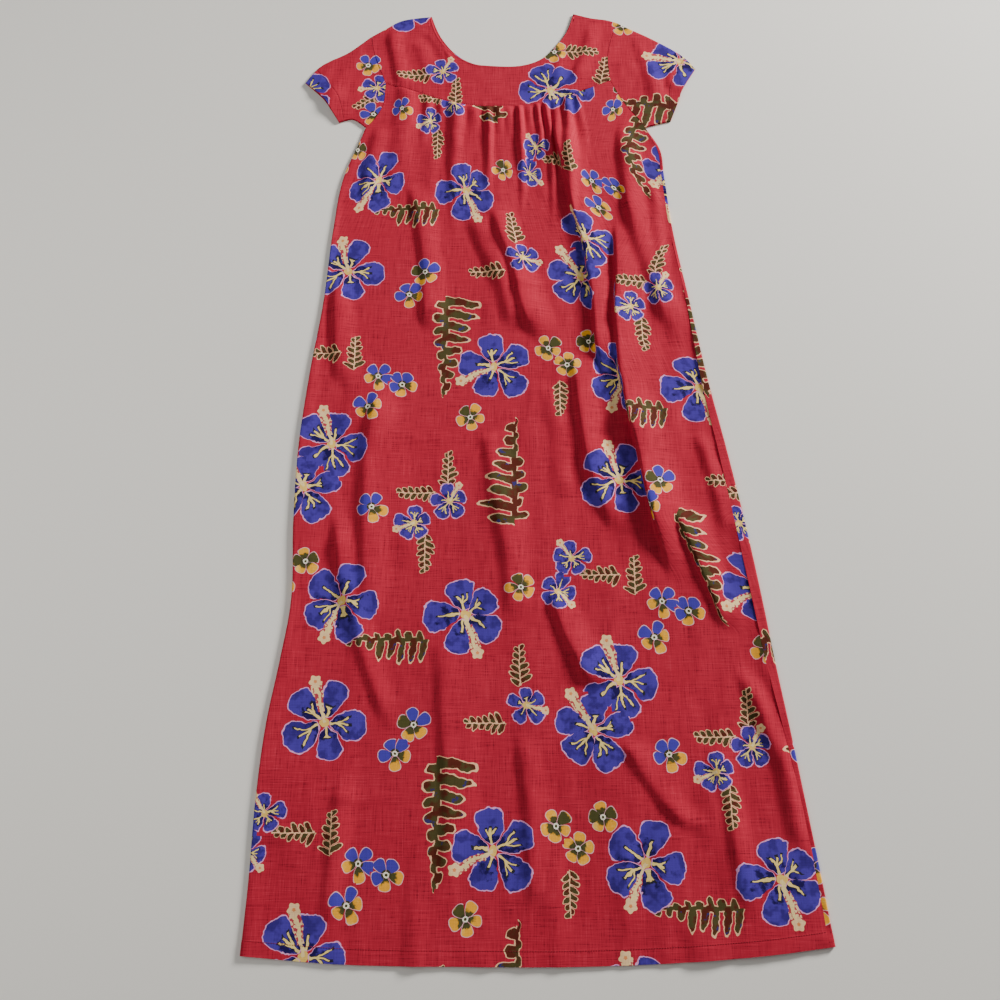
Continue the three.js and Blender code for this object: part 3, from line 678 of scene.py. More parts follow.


# A plain weave of slub cotton, screen-printed: matt, with the uneven threads of a linen look. The
# real threads are 0.4 mm apart and are drawn 1.5 mm apart, so that they show. Their colour follows
# the weave's bump: darker in its low spots, as painted shade, and paler on its high threads, as
# painted light, over the threads' own uneven tone.
slubCotton = {
    "ground": "#b52338",
    "darkThreadAndPaintedShade": "#7d1526",
    "paleThreadAndPaintedLight": "#cb3f50",
    "threadWide": 1.5,
    "slubLong": 38,
    "roughness": 0.86,
    "weaveRelief": 0.16,
}


def makePrintedCotton():
    material = bpy.data.materials.new("printedSlubCotton")
    material.use_nodes = True
    tree = material.node_tree
    shader = tree.nodes["Principled BSDF"]
    place = addNode(tree, "Attribute", [], output=1, attribute_name="clothPlace")
    values = {}
    for name, scale in (("warp", (1 / slubCotton["threadWide"], 1 / slubCotton["slubLong"], 1)),
                        ("weft", (1 / slubCotton["slubLong"], 1 / slubCotton["threadWide"], 1))):
        threads = addNode(tree, "VectorMath", [place, scale], operation="MULTIPLY")
        slub = {"Vector": threads, "Scale": 1.0, "Detail": 2.0, "Roughness": 0.7}
        values[name] = addNode(tree, "TexNoise", slub)
    patches = {"Vector": place, "Scale": 0.012, "Detail": 3.0}
    values["patch"] = addNode(tree, "TexNoise", patches)
    addFormula(tree, values, [
        ("threads", "ADD", "warp", "weft"),
        # painted shade where the weave's bump is low and painted light where it is high, over the threads'
        # own uneven tone
        ("dark1", "MULTIPLY_ADD", "threads", -4.6, 4.2),
        ("light1", "MULTIPLY_ADD", "threads", 3.6, -4.0),
        ("patch1", "MULTIPLY_ADD", "patch", 1.2, -0.45),
    ])
    for name in ("dark1", "light1", "patch1"):
        values[name] = addNode(tree, "Clamp", [values[name]])
    addFormula(tree, values, [
        ("dark", "MULTIPLY", "dark1", 0.8),
        ("light", "MULTIPLY", "light1", 0.65),
        ("faded", "MULTIPLY", "patch1", 0.2),
    ])
    ground = layColours(tree, values, linear(slubCotton["ground"]), [
        ("faded", slubCotton["paleThreadAndPaintedLight"]), ("dark", slubCotton["darkThreadAndPaintedShade"]),
        ("light", slubCotton["paleThreadAndPaintedLight"])])
    colour = layPansies(tree, layBlooms(tree, layFerns(tree, ground)))
    # painted shade: the whole colour, print included, is darkened where the weave's bump is low
    addFormula(tree, values, [
        ("paintedWeaveShade1", "MULTIPLY_ADD", "threads", 0.5, 0.5),
        ("paintedWeaveShade", "MINIMUM", "paintedWeaveShade1", 1.08),
    ])
    shaded = addNode(tree, "VectorMath", {0: colour, "Scale": values["paintedWeaveShade"]}, operation="SCALE")
    bump = {"Strength": 0.5, "Distance": slubCotton["weaveRelief"] * mm, "Height": values["threads"]}
    tree.links.new(shaded, shader.inputs["Base Color"])
    tree.links.new(addNode(tree, "Bump", bump), shader.inputs["Normal"])
    shader.inputs["Roughness"].default_value = slubCotton["roughness"]
    shader.inputs["Specular IOR Level"].default_value = 0.1
    return material


printedCotton = makePrintedCotton()
print("materials made")


# Folds and creases of the laid front, each a ridge along its crest points: the widths of its
# steep and soft flanks, its height, how far it leans over its left flank, and how much cloth of
# the print is hidden in it
frontFolds = [
    {"crest": [(38, 520), (44, 470), (52, 424), (66, 344), (84, 264), (94, 184), (98, 104), (108, 40)],
     "left": 10, "right": 40, "height": 8, "lean": 8, "hides": 22},
    {"crest": [(128, 330), (132, 240), (130, 150), (131, 64), (146, -16), (158, -86), (174, -170),
               (184, -240)],
     "left": 12, "right": 42, "height": 10, "lean": 12, "hides": 58},
    {"crest": [(142, 494), (150, 344), (166, 264), (188, 180), (206, 110)],
     "left": 20, "right": 34, "height": 5, "lean": 4, "hides": 6},
    {"crest": [(196, -125), (222, -215), (240, -262), (250, -300)],
     "left": 12, "right": 34, "height": 7, "lean": 7, "hides": 33},
    {"crest": [(-54, 344), (-38, 290), (-18, 235), (-6, 175), (12, 110)],
     "left": 18, "right": 36, "height": 6, "lean": 5, "hides": 0},
    {"crest": [(-84, 330), (-66, 264), (-36, 204), (-22, 130)],
     "left": 22, "right": 34, "height": 4, "lean": 2, "hides": 0},
    {"crest": [(62, 104), (70, 20), (82, -80), (112, -170)],
     "left": 16, "right": 34, "height": 6, "lean": 5, "hides": 0},
    {"crest": [(22, -240), (46, -310), (76, -372)],
     "left": 14, "right": 38, "height": 6, "lean": 4, "hides": 0},
    {"crest": [(-206, 60), (-222, -40), (-222, -150), (-214, -290)],
     "left": 18, "right": 40, "height": 5.5, "lean": 2, "hides": 0},
    {"crest": [(-282, 230), (-277, 150), (-270, 40)],
     "left": 14, "right": 34, "height": 4.6, "lean": 0, "hides": 0},
    {"crest": [(-176, 380), (-160, 300), (-150, 220), (-146, 120)],
     "left": 16, "right": 34, "height": 5, "lean": 2, "hides": 0},
    {"crest": [(-262, -130), (-250, -230), (-216, -330), (-180, -430)],
     "left": 13, "right": 28, "height": 4.6, "lean": 2, "hides": 0},
    {"crest": [(262, -340), (286, -400), (308, -470), (318, -570)],
     "left": 20, "right": 20, "height": 4.5, "lean": 3, "hides": 0},
    {"crest": [(108, -430), (136, -478), (160, -512), (196, -545)],
     "left": 14, "right": 32, "height": 4, "lean": 3, "hides": 0},
    {"crest": [(-64, -10), (-50, -110), (-34, -200), (-26, -290)],
     "left": 16, "right": 34, "height": 4, "lean": 0, "hides": 0},
    {"crest": [(-120, -300), (-116, -400), (-106, -520), (-112, -610)],
     "left": 14, "right": 30, "height": 3.2, "lean": 0, "hides": 0},
    {"crest": [(-20, -420), (-8, -520), (-4, -640)],
     "left": 13, "right": 26, "height": 3, "lean": 0, "hides": 0},
    {"crest": [(214, -430), (236, -520), (248, -640)],
     "left": 13, "right": 26, "height": 3.6, "lean": 0, "hides": 0},
    {"crest": [(-236, -470), (-244, -560), (-250, -650)],
     "left": 14, "right": 26, "height": 3.4, "lean": 0, "hides": 0},
    {"crest": [(182, 380), (186, 300), (196, 220)],
     "left": 12, "right": 14, "height": 2.5, "lean": 0, "hides": 0},
    {"crest": [(-226, 480), (-236, 420), (-250, 330)],
     "left": 16, "right": 24, "height": 3.4, "lean": 0, "hides": 0},
    {"crest": [(20, 60), (34, -30), (36, -120)],
     "left": 22, "right": 26, "height": 2.4, "lean": 0, "hides": 0},
    {"crest": [(226, -20), (244, -90), (256, -170)],
     "left": 14, "right": 18, "height": 3, "lean": 0, "hides": 0},
]
gatherTable = {  # crests under the yoke seam, left to right, and how far down each one runs
    "at": [-190, -156, -136, -111, -84, -65, -49, -32, -16.5, -2, 12.5, 26, 40, 55.5, 73.5],
    "width": [40, 20, 20, 28, 23, 15, 17, 17, 14, 15, 13, 14, 14, 17, 19],
    "height": [1.4, 2.2, 1, 3, 1.8, 3.2, 1.3, 1, 3.2, 1.2, 2.6, 3.3, 1.4, 4, 1.8],
    "reach": [170, 80, 60, 190, 70, 150, 50, 60, 180, 50, 90, 200, 60, 250, 110],
}
gatherOnset = {"atSeam": 0.45, "full": 12}  # their height at the seam, and where it is full
relief = {
    "folds": 1.5,
    "gathers": 1.9,
    "gatherReach": 1.5,
    "gatherRound": 0.7,  # under 1, so that the valleys are sharper than the tops
    "gatherWander": 3.5,
    "edge": 14,  # how far in from the side edges the folds have their full height
}
wrinkles = [  # small ones all over the front: width, length, height and seed
    (46, 150, 2.0, 3), (21, 85, 1.3, 4), (12, 26, 0.45, 5),
]
hemRipples = {"reach": 60, "height": 0.7, "width": 15, "length": 60, "seed": 7}
sidePuckers = {"reach": 16, "height": 0.9, "width": 30, "length": 13, "seed": 8}
backRelief = {"swell": 0.5, "fold": 0.6, "foldWide": 0.22, "hem": 0.2, "hemDepth": 25, "edge": 20}
skirtRows = ((0, 0.03, 14), (0.03, 0.8, 150), (0.8, 1, 76))  # closest at the hem and by the yoke
skirtColumns = {"front": 176, "back": 120}
storageCreases = [  # faint ridges across the cloth from its old folds
    {"from": (-184, -30), "to": (-34, -32), "height": 1.9},
    {"from": (95, -124), "to": (236, -130), "height": 0.9},
    {"from": (-340, -545), "to": (-284, -548), "height": 1.9},
    {"from": (-254, -505), "to": (-160, -508), "height": 1.9},
    {"from": (-20, 210), "to": (60, 204), "height": 1.9},
]
# The gathers draw the print together by this share at the yoke, and down the skirt ever less
grain = {"middle": -124, "gathered": 0.3, "gatheredFrom": 440, "gatheredTo": 244}
pleatEnds = 0.18  # share of a fold's length over which each end fades


# How high a fold stands at a point, from 0 to 1, and how far past its steep flank the point is
def foldAt(fold, x, y):
    crest = np.array(fold["crest"][::-1], float)
    low, high = crest[0, 1], crest[-1, 1]
    crestX = np.interp(y, crest[:, 1], crest[:, 0])
    across = x - crestX
    rise = np.where(across < 0, hump(across / fold["left"]), hump(across / fold["right"]))
    share = (y - low) / (high - low)
    ends = smooth(share / pleatEnds) * smooth((1 - share) / pleatEnds)
    uneven = 0.82 + 0.25 * softNoise(x * 0, y, 1, 55, 1000 + int(high))
    return rise * ends * uneven, smooth(across / fold["left"] + 1) * ends


# The front's height over the flat cloth and its sideways lean, and the print's hidden cloth
def frontForm(x, y, seamX, seamY):
    height, lean, hidden = (np.zeros_like(x) for _ in range(3))
    for fold in frontFolds:
        rise, past = foldAt(fold, x, y)
        height += relief["folds"] * fold["height"] * rise
        lean -= fold["lean"] * rise
        hidden += fold["hides"] * past
    below = seamY - y
    onset = gatherOnset["atSeam"] + (1 - gatherOnset["atSeam"]) * np.clip(below / gatherOnset["full"], 0, 1)
    gatherX = 0.3 * seamX + 0.7 * x + relief["gatherWander"] * softNoise(x, y, 30, 90, 9)
    down = np.clip(below, 0, None) / relief["gatherReach"]
    for at, width, tall, reach in zip(*gatherTable.values()):
        ridge = hump(2 * (gatherX - at) / width) ** relief["gatherRound"]
        height += relief["gathers"] * tall * ridge * onset * hump(down / reach)
    for crease in storageCreases:
        (x0, y0), (x1, y1) = crease["from"], crease["to"]
        share = (x - x0) / (x1 - x0)
        line = y0 + (y1 - y0) * share + 3 * softNoise(x, y * 0, 40, 1, 200 + int(x1 - x0))
        inside = smooth(share / 0.15) * smooth((1 - share) / 0.15) * (share > 0) * (share < 1)
        height += crease["height"] * hump((y - line) / 8) * inside
    for wide, long, tall, seed in wrinkles:
        height += tall * softNoise(x, y, wide, long, seed)
    return height, lean, hidden


def clothGrain(x, y):
    high, low = grain["gatheredFrom"], grain["gatheredTo"]
    return grain["gathered"] * (1 - smooth((high - y) / (high - low))) * (x - grain["middle"])


def noiseOf(table, x, y):
    return softNoise(x, y, table["width"], table["length"], table["seed"])


def unit(vectors):
    return vectors / np.maximum(np.linalg.norm(vectors, axis=-1, keepdims=True), 1e-9)


# A skirt panel from hem to yoke seam: its own layer, and below the armpits the folded edge and
# the strip beyond it. The front's folded edge is on the left, the back's on the right.
def skirtPanel(side):
    front = side == "front"
    v = np.unique(np.concatenate([np.linspace(*rows) for rows in skirtRows]))[:, None]
    if not front:
        v = v[::2] if (len(v) % 2) else np.concatenate([v[::2], v[-1:]])
    below = smooth((armpitShare - v) / 0.02)  # 1 below the armpits, 0 at them and above
    ends = {0: skirtPlan(np.array([0.0]), v)[:, 0], 1: skirtPlan(np.array([1.0]), v)[:, 0]}
    low = np.minimum(v, armpitShare - 0.01)
    seam, fold = (1, 0) if front else (0, 1)
    inward = {}
    for end, sign in ((0, 1), (1, -1)):
        at = np.array([float(end)])
        along = unit(skirtPlan(at, low + 0.01) - skirtPlan(at, low))[:, 0]
        inward[end] = np.stack([along[:, 1], -along[:, 0]], -1) * sign
    roll = edgeRoll(ends[fold][:, 1])
    foldInset = (cloth["thick"] / 2 + roll) * below[:, 0]
    seamDistance = (backShows if front else frontUnder)(ends[seam][:, 1])
    seamInset = (seamDistance + cloth["sideSeamGap"] / 2) * below[:, 0]
    width = np.linalg.norm(ends[1] - ends[0], axis=1)
    first, last = (foldInset, seamInset) if front else (seamInset, foldInset)
    share = np.linspace(0, 1, skirtColumns[side])
    share = share + 0.012 * np.sin(2 * np.pi * share)  # columns a little closer in the middle
    s = (first / width)[:, None] + share * (1 - (first + last) / width)[:, None]
    plan = skirtPlan(s, v)
    x, y = plan[..., 0], plan[..., 1]
    seamXY = seamPoint(s)
    fromEdge = np.clip(np.minimum(x - leftEdge(y), rightEdge(y) - x), 0, None)
    nearEdge = hump(fromEdge / cloth["edgeFalloff"])
    edgeLift = cloth["underHeight"] + 2 * edgeRoll(y) - cloth["laidHeight"]
    if front:
        height, lean, hidden = frontForm(x, y, seamXY[..., 0], seamXY[..., 1])
        calm = 1 - hump(fromEdge / relief["edge"])  # the folds fade at the edges
        atSeam = smooth((seamXY[..., 1] - y) / 6 + 0.35)
        z = cloth["laidHeight"] + edgeLift * nearEdge + height * calm * atSeam
        z = np.maximum(z, cloth["laidHeight"] - 0.5)
        x = x + lean * calm * atSeam
        rippled = smooth(1 - (y - hemHeight(x)) / hemRipples["reach"])
        z = z + hemRipples["height"] * rippled * (noiseOf(hemRipples, x, y) + 0.5)
        puckered = smooth(1 - (rightEdge(y) - x - seamInset[:, None]) / sidePuckers["reach"]) * below
        z = z + sidePuckers["height"] * puckered * noiseOf(sidePuckers, x, y)
        across = x + onCloth["front"] + clothGrain(x, y) + hidden
    else:
        calm = smooth(fromEdge / backRelief["edge"])
        swell = softNoise(x, y, 60, 170, 11) * 0.5 + 0.5
        ridges = hump(softNoise(x, y, 70, 240, 12) / backRelief["foldWide"])
        z = cloth["underHeight"] + backRelief["swell"] * swell * calm
        z = z + backRelief["fold"] * ridges * calm
        # the turned hem is thicker
        z = z + backRelief["hem"] * smooth(1 - (y - hemHeight(x)) / backRelief["hemDepth"])
        across = onCloth["back"] - x
    points = np.stack([x, y, z], -1)
    place = np.stack([across, y - onCloth["top"]], -1)

    # the folded edge, then the strip beyond it, which both carry the print on to the left of its chart
    topZ = cloth["underHeight"] + 2 * roll
    turns = np.linspace(np.pi if front else 0, 0 if front else np.pi, 11)[1:-1]
    foldPoints, foldPlaces = [], []
    edge, into = ends[fold], inward[fold]
    startPlace = place[:, 0 if front else -1]
    for turn in turns:
        inset = (cloth["thick"] / 2 + roll - roll * np.sin(turn)) * below[:, 0]
        xy = edge + into * inset[:, None]
        z = cloth["underHeight"] + roll - roll * np.cos(turn)
        foldPoints.append(np.concatenate([xy, z[:, None]], 1))
        arc = roll * abs(turn - (np.pi if front else 0))
        foldPlaces.append(startPlace - np.stack([arc, arc * 0], -1))
    stripEnd = (frontUnder if front else backShows)(edge[:, 1]) - cloth["sideSeamGap"] / 2
    stripZ = cloth["underHeight"] + edge[:, 1] * 0 if front else topZ
    for step in np.linspace(0, 1, 6):
        inset = (foldInset + (stripEnd - foldInset) * step * below[:, 0])
        xy = edge + into * inset[:, None]
        lift = 0 if front else sidePuckers["height"] * step * noiseOf(sidePuckers, xy[:, 0], xy[:, 1])
        foldPoints.append(np.concatenate([xy, (stripZ + lift)[:, None]], 1))
        arc = roll * np.pi + (stripEnd - foldInset) * step
        foldPlaces.append(startPlace - np.stack([arc, arc * 0], -1))
    extra, extraPlace = np.stack(foldPoints, 1), np.stack(foldPlaces, 1)
    if front:
        points = np.concatenate([extra[:, ::-1], points], 1)
        place = np.concatenate([extraPlace[:, ::-1], place], 1)
    else:
        points = np.concatenate([points, extra], 1)
        place = np.concatenate([place, extraPlace], 1)
    extraFaces = extra.shape[1]
    keep = np.ones((len(v) - 1, points.shape[1] - 1), bool)
    above = v[1:, 0] > armpitShare
    if front:
        keep[above, :extraFaces] = False
    else:
        keep[above, -extraFaces:] = False
    hemShare = smooth((cloth["hemDepth"] + 0.8 - (points[..., 1] - hemHeight(points[..., 0]))) / 1.6)
    thick = cloth["thick"] + (cloth["hemThick"] - cloth["thick"]) * hemShare
    return clothShell(f"{side}_skirt", points, place, thick, keep, outward=1 if front else -1)


skirts = {side: skirtPanel(side) for side in ("back", "front")}


# The yokes: shoulder seams and neckline above, the curved seam below
neckShares = (0.21, 0.86)  # of the yoke's width at which the neckline starts and ends
yokeRows = 70
neckHem = {"from": 0.88, "thick": 0.5}  # a share of the rows, and how much thicker it is
backNeck = {"shows": 3.5, "at": 0.29, "reach": 0.16}  # where the back's neckline shows past the front's
neckRoll = 0.8
yokeFolds = [
    {"crest": [(-214, 672), (-214, 640), (-206, 600), (-196, 545)],
     "left": 14, "right": 24, "height": 4.6},
    {"crest": [(100, 690), (98, 650), (88, 610), (70, 560)], "left": 14, "right": 24, "height": 3.6},
    {"crest": [(-168, 655), (-150, 622), (-142, 600)], "left": 14, "right": 12, "height": -1.2},
    {"crest": [(-146, 684), (-134, 655), (-124, 625), (-122, 600)],
     "left": 9, "right": 14, "height": 2.6},
    {"crest": [(-176, 640), (-160, 590), (-158, 560)], "left": 12, "right": 18, "height": 2},
    {"crest": [(52, 612), (44, 588), (46, 560)], "left": 12, "right": 16, "height": 1.6},
]


def yokeHead(s):
    left, right = neckShares
    neck = neckline((s - left) / (right - left))
    shoulderLeft, shoulderRight = shoulderSeamLeft(s / left), shoulderSeamRight((s - right) / (1 - right))
    head = np.where((s > right)[..., None], shoulderRight, neck)
    return np.where((s < left)[..., None], shoulderLeft, head)


def armholeEdge(armhole):
    def at(v):
        return armhole["upper"](v) + np.stack([v * 0, cloth["seamGap"] * (1 - v)], -1)

    return at


def yokeFoot(s):
    return seamPoint(s) + (0, cloth["seamGap"])


yokePlan = patch(yokeFoot, yokeHead, armholeEdge(armholeLeft), armholeEdge(armholeRight))


def yoke(side):
    front = side == "front"
    left, right = neckShares
    s = [np.linspace(0, left, 34), np.linspace(left, right, 110)[1:], np.linspace(right, 1, 24)[1:]]
    s = np.concatenate(s)
    v = np.linspace(0, 1, yokeRows)[:, None]
    plan = yokePlan(s, v)
    x, y = plan[..., 0], plan[..., 1]
    if not front:
        z = cloth["underHeight"] + 0.3 * (softNoise(x, y, 50, 60, 21) * 0.5 + 0.5)
        points = np.stack([x, y, z], -1)
        place = np.stack([onCloth["back"] - x, y - onCloth["top"] - onCloth["yokeBelowTop"]], -1)
        return clothShell("back_yoke", points, place, cloth["thick"], outward=-1)
    z = cloth["laidHeight"] + 0.45 * softNoise(x, y, 34, 60, 22) + 0.25 * softNoise(x, y, 13, 24, 23)
    for fold in yokeFolds:
        z = z + fold["height"] * foldAt(fold, x, y)[0]
    # small puckers where the gathers pull at the seam
    z = z + 0.35 * hump((y - seamHeight(x)) / 12) * softNoise(x, y * 0, 5, 1, 24)
    z = np.maximum(z, cloth["laidHeight"] - 1.2)
    points = np.stack([x, y, z], -1)
    head = points[-1, :, :2]
    along = unit(np.gradient(head, axis=0))
    out = np.stack([-along[:, 1], along[:, 0]], -1)
    shows = backNeck["shows"] * hump((s - backNeck["at"]) / backNeck["reach"])
    fade = smooth((v - 0.75) / 0.25)
    inset = (cloth["thick"] / 2 + neckRoll + shows)[None] * fade
    points[..., :2] -= out[None] * inset[..., None]
    points[..., 2] = points[..., 2] * (1 - fade) + fade * cloth["laidHeight"]
    turned = []
    for turn in np.linspace(0, quarterTurn, 6)[1:]:
        xy = points[-1, :, :2] + out * neckRoll * np.sin(turn)
        z = np.full((len(s), 1), cloth["laidHeight"] - neckRoll * (1 - np.cos(turn)))
        turned.append(np.concatenate([xy, z], 1))
    points = np.concatenate([points, np.stack(turned)])
    rows = np.linspace(0, 1, len(points))[:, None]
    thick = cloth["thick"] + neckHem["thick"] * smooth((rows - neckHem["from"]) / 0.02) + x[:1] * 0
    return clothShell("front_yoke", points, points[..., :2].copy(), thick)


yokes = {side: yoke(side) for side in ("back", "front")}


# Sleeves: a flat tube of two layers from armhole to cuff, with its rings along the cut's own lines
sleeveCuts = {
    "sleeve_right": {
        "armhole": armholeLeft, "clear": (-0.55, 0.15),
        "underarm": curve(outline["armpitLeft"], (-266, 490), (-278, 490), outline["cuffFootLeft"]),
        "overarm": curve(
            outline["shoulderLeft"], (-280, 617), (-310, 599.6), (-327, 586.4), outline["cuffTopLeft"]),
        "cuff": curve(outline["cuffFootLeft"], (-302, 506.5), (-317, 530.3), outline["cuffTopLeft"]),
        "mouth": 3.2,
        "folds": [{"crest": [(-262, 636), (-284, 585), (-300, 540), (-304, 500)],
                   "left": 18, "right": 24, "height": 3},
                  {"crest": [(-300, 606), (-322, 560), (-326, 530)],
                   "left": 12, "right": 16, "height": 2}],
    },
    "sleeve_left": {
        "armhole": armholeRight, "clear": (0.55, 0.15),
        "underarm": curve(outline["armpitRight"], (196, 482.5), outline["cuffFootRight"]),
        "overarm": curve(
            outline["shoulderRight"], (160, 662), (195, 642), (238, 612), outline["cuffTopRight"]),
        "cuff": curve(outline["cuffFootRight"], (230.3, 525.4), (238, 548.2), outline["cuffTopRight"]),
        "mouth": 2,
        "folds": [{"crest": [(166, 660), (182, 610), (192, 560), (196, 510)],
                   "left": 18, "right": 24, "height": 3},
                  {"crest": [(214, 630), (222, 590), (218, 540)],
                   "left": 12, "right": 20, "height": 2}],
    },
}
cuff = {"depth": 20, "thick": 0.6}
sleeveRows, sleeveColumns = 84, 66


def sleeve(name, cut):
    clear = np.array(cut["clear"])

    def armholePoint(s):
        lower, upper = cut["armhole"]["lower"](2 * s), cut["armhole"]["upper"](2 * s - 1)
        return np.where((s > 0.5)[..., None], upper, lower) + clear

    plan = patch(
        armholePoint, cut["cuff"],
        lambda v: cut["underarm"](v) + clear * (1 - v)[..., None],
        lambda v: cut["overarm"](v) + clear * (1 - v)[..., None],
    )

    def topHeight(s, v, xy):
        x, y = xy[..., 0], xy[..., 1]
        raised = sum(fold["height"] * foldAt(fold, x, y)[0] for fold in cut["folds"])
        noise = 0.6 * softNoise(x, y, 26, 40, 31) + 0.3 * softNoise(x, y, 11, 20, 32)
        return cloth["laidHeight"] + np.sin(np.pi * s) * (cut["mouth"] * v * v + raised + noise)

    v = np.linspace(0, 1, sleeveRows)[:, None]
    layer = np.linspace(0, 1, sleeveColumns)
    sides = {}
    for end, near in ((0, 0.03), (1, 0.97)):
        at = np.array([float(end)])
        there = plan(at, v)
        inward = unit(plan(np.array([near]), v) - there)
        roll = (topHeight(at, v, there) - cloth["underHeight"]) / 2
        sides[end] = (there, inward, roll)
    width = np.linalg.norm(sides[1][0] - sides[0][0], axis=-1)
    insets = {end: cloth["thick"] / 2 + sides[end][2] for end in (0, 1)}
    s = insets[0] / width + layer * (1 - (insets[0] + insets[1]) / width)
    xy = plan(s, v)
    under = np.concatenate([xy, np.full(xy.shape[:2] + (1,), cloth["underHeight"])], -1)
    top = np.concatenate([xy, topHeight(s, v, xy)[..., None]], -1)

    def foldedEdge(end, turns):
        there, inward, roll = sides[end]
        inset = cloth["thick"] / 2 + roll - roll * np.sin(turns)
        edge = there + inward * inset[..., None]
        return np.concatenate([edge, (cloth["underHeight"] + roll - roll * np.cos(turns))[..., None]], -1)

    turns = np.linspace(0, np.pi, 9)[1:-1]
    points = np.concatenate([under, foldedEdge(1, turns), top[:, ::-1], foldedEdge(0, turns[::-1])], 1)
    reach = v * np.linalg.norm(cut["cuff"](np.array(0.5)) - armholePoint(np.array(0.5)))
    hemShare = smooth((v - 1 + (cuff["depth"] + 0.8) / reach[-1, 0]) * reach[-1, 0] / 1.6)
    thick = cloth["thick"] + cuff["thick"] * hemShare + points[..., 0] * 0
    flat = points[..., :2].copy()
    flat[:, :under.shape[1] + 3, 0] += onCloth["sleeveUnder"] * np.sign(clear[0])
    return clothShell(name, points, flat, thick, ring=True, outward=-1 if name == "sleeve_right" else 1)


sleeves = {name: sleeve(name, cut) for name, cut in sleeveCuts.items()}

# Rows of stitches in a crimson darker than the cloth's. The row by the yoke seam is a topstitch that also
# stands in for the seam's shadow, as painted shade.
stitching = {
    "long": 2.4,
    "pitch": 3.1,
    "radius": 0.24,
    "colour": "#97172a",
    "twist": 900,  # waves of the thread's twist to a metre
    "fromYokeSeam": 2.2,
}


def makeThread():
    # polyester-cotton of two strands, spun and dyed: a soft sheen on a fine rope
    material = bpy.data.materials.new("crimsonSewingThread")
    material.use_nodes = True
    tree = material.node_tree
    shader = tree.nodes["Principled BSDF"]
    place = addNode(tree, "TexCoord", [], output=3)
    twist = addNode(tree, "TexWave", {"Vector": place, "Scale": stitching["twist"], "Distortion": 1.0})
    fuzz = addNode(tree, "TexNoise", {"Vector": place, "Scale": 400.0, "Detail": 2.0})
    shade = layColours(tree, {"fuzz": fuzz}, linear(stitching["colour"]), [("fuzz", "#7c1122")])
    tree.links.new(shade, shader.inputs["Base Color"])
    bump = addNode(tree, "Bump", {"Strength": 0.6, "Distance": 0.05 * mm, "Height": twist})
    tree.links.new(bump, shader.inputs["Normal"])
    shader.inputs["Roughness"].default_value = 0.6
    shader.inputs["Specular IOR Level"].default_value = 0.3
    return material


sewingThread = makeThread()


# A line across a piece's grid of points, at a part-row of each column, with its normals
def lineAcross(points, rowAt, outward):
    normals = outward * unit(np.cross(np.gradient(points, axis=1), np.gradient(points, axis=0)))
    low = np.clip(np.floor(rowAt).astype(int), 0, len(points) - 2)
    share = (rowAt - low)[:, None]
    columns = np.arange(points.shape[1])
    line = points[low, columns] * (1 - share) + points[low + 1, columns] * share
    return line, normals[low, columns]


# Stitches along a line: each is a short round bar whose ends dip into the cloth
def sewLine(name, line, normals, lift):
    steps = np.linalg.norm(np.diff(line, axis=0), axis=1)
    run = np.concatenate([[0], np.cumsum(steps)])
    starts = np.arange(1.5, run[-1] - stitching["long"] - 1, stitching["pitch"])
    rings = np.array([0, 0.12, 0.5, 0.88, 1])
    fat = np.array([0.35, 0.9, 1, 0.9, 0.35]) * stitching["radius"]
    rise = np.array([-0.7, 0.1, 0.35, 0.1, -0.7]) * stitching["radius"]
    at = starts[:, None] + rings * stitching["long"]
    place = np.stack([np.interp(at, run, line[:, i]) for i in range(3)], -1)
    normal = unit(np.stack([np.interp(at, run, normals[:, i]) for i in range(3)], -1))
    along = unit(place[:, -1:] - place[:, :1])
    aside = unit(np.cross(along, normal))
    sides, ringCount = 6, len(rings)
    turn = np.linspace(0, math.tau, sides + 1)[:-1]
    round1 = np.cos(turn)[:, None] * aside[:, :, None] + np.sin(turn)[:, None] * normal[:, :, None]
    centre = place + normal * (lift + rise)[:, None]
    corners = (centre[:, :, None] + round1 * fat[:, None, None]).reshape(-1, 3) * mm
    perStitch = sides * ringCount
    first = np.arange(len(starts))[:, None, None] * perStitch + np.arange(ringCount - 1)[:, None] * sides
    here, there = first + np.arange(sides), first + (np.arange(sides) + 1) % sides
    walls = np.stack([here, there, there + sides, here + sides], -1).reshape(-1, 4)
    feet = np.arange(len(starts)) * perStitch
    caps = [range(foot + sides - 1, foot - 1, -1) for foot in feet]
    caps += [range(foot + perStitch - sides, foot + perStitch) for foot in feet]
    mesh = bpy.data.meshes.new(name)
    mesh.from_pydata(corners.tolist(), [], walls.tolist() + [list(cap) for cap in caps])
    mesh.polygons.foreach_set("use_smooth", np.ones(len(mesh.polygons), bool))
    mesh.materials.append(sewingThread)
    row = bpy.data.objects.new(name, mesh)
    bpy.context.scene.collection.objects.link(row)
    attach(row, "root")
    print(f"{name}: {len(starts)} stitches")


def rowsAt(points, distance):
    return np.array([np.interp(0, distance[:, i], np.arange(len(points))) for i in range(points.shape[1])])


for side, outward in (("front", 1), ("back", -1)):
    points = laidPoints[f"{side}_skirt"]
    above = points[..., 1] - hemHeight(points[..., 0]) - cloth["hemDepth"]
    line, normals = lineAcross(points, rowsAt(points, above), outward)
    sewLine(f"{side}_hem_stitches", line, normals, cloth["hemThick"] / 2)
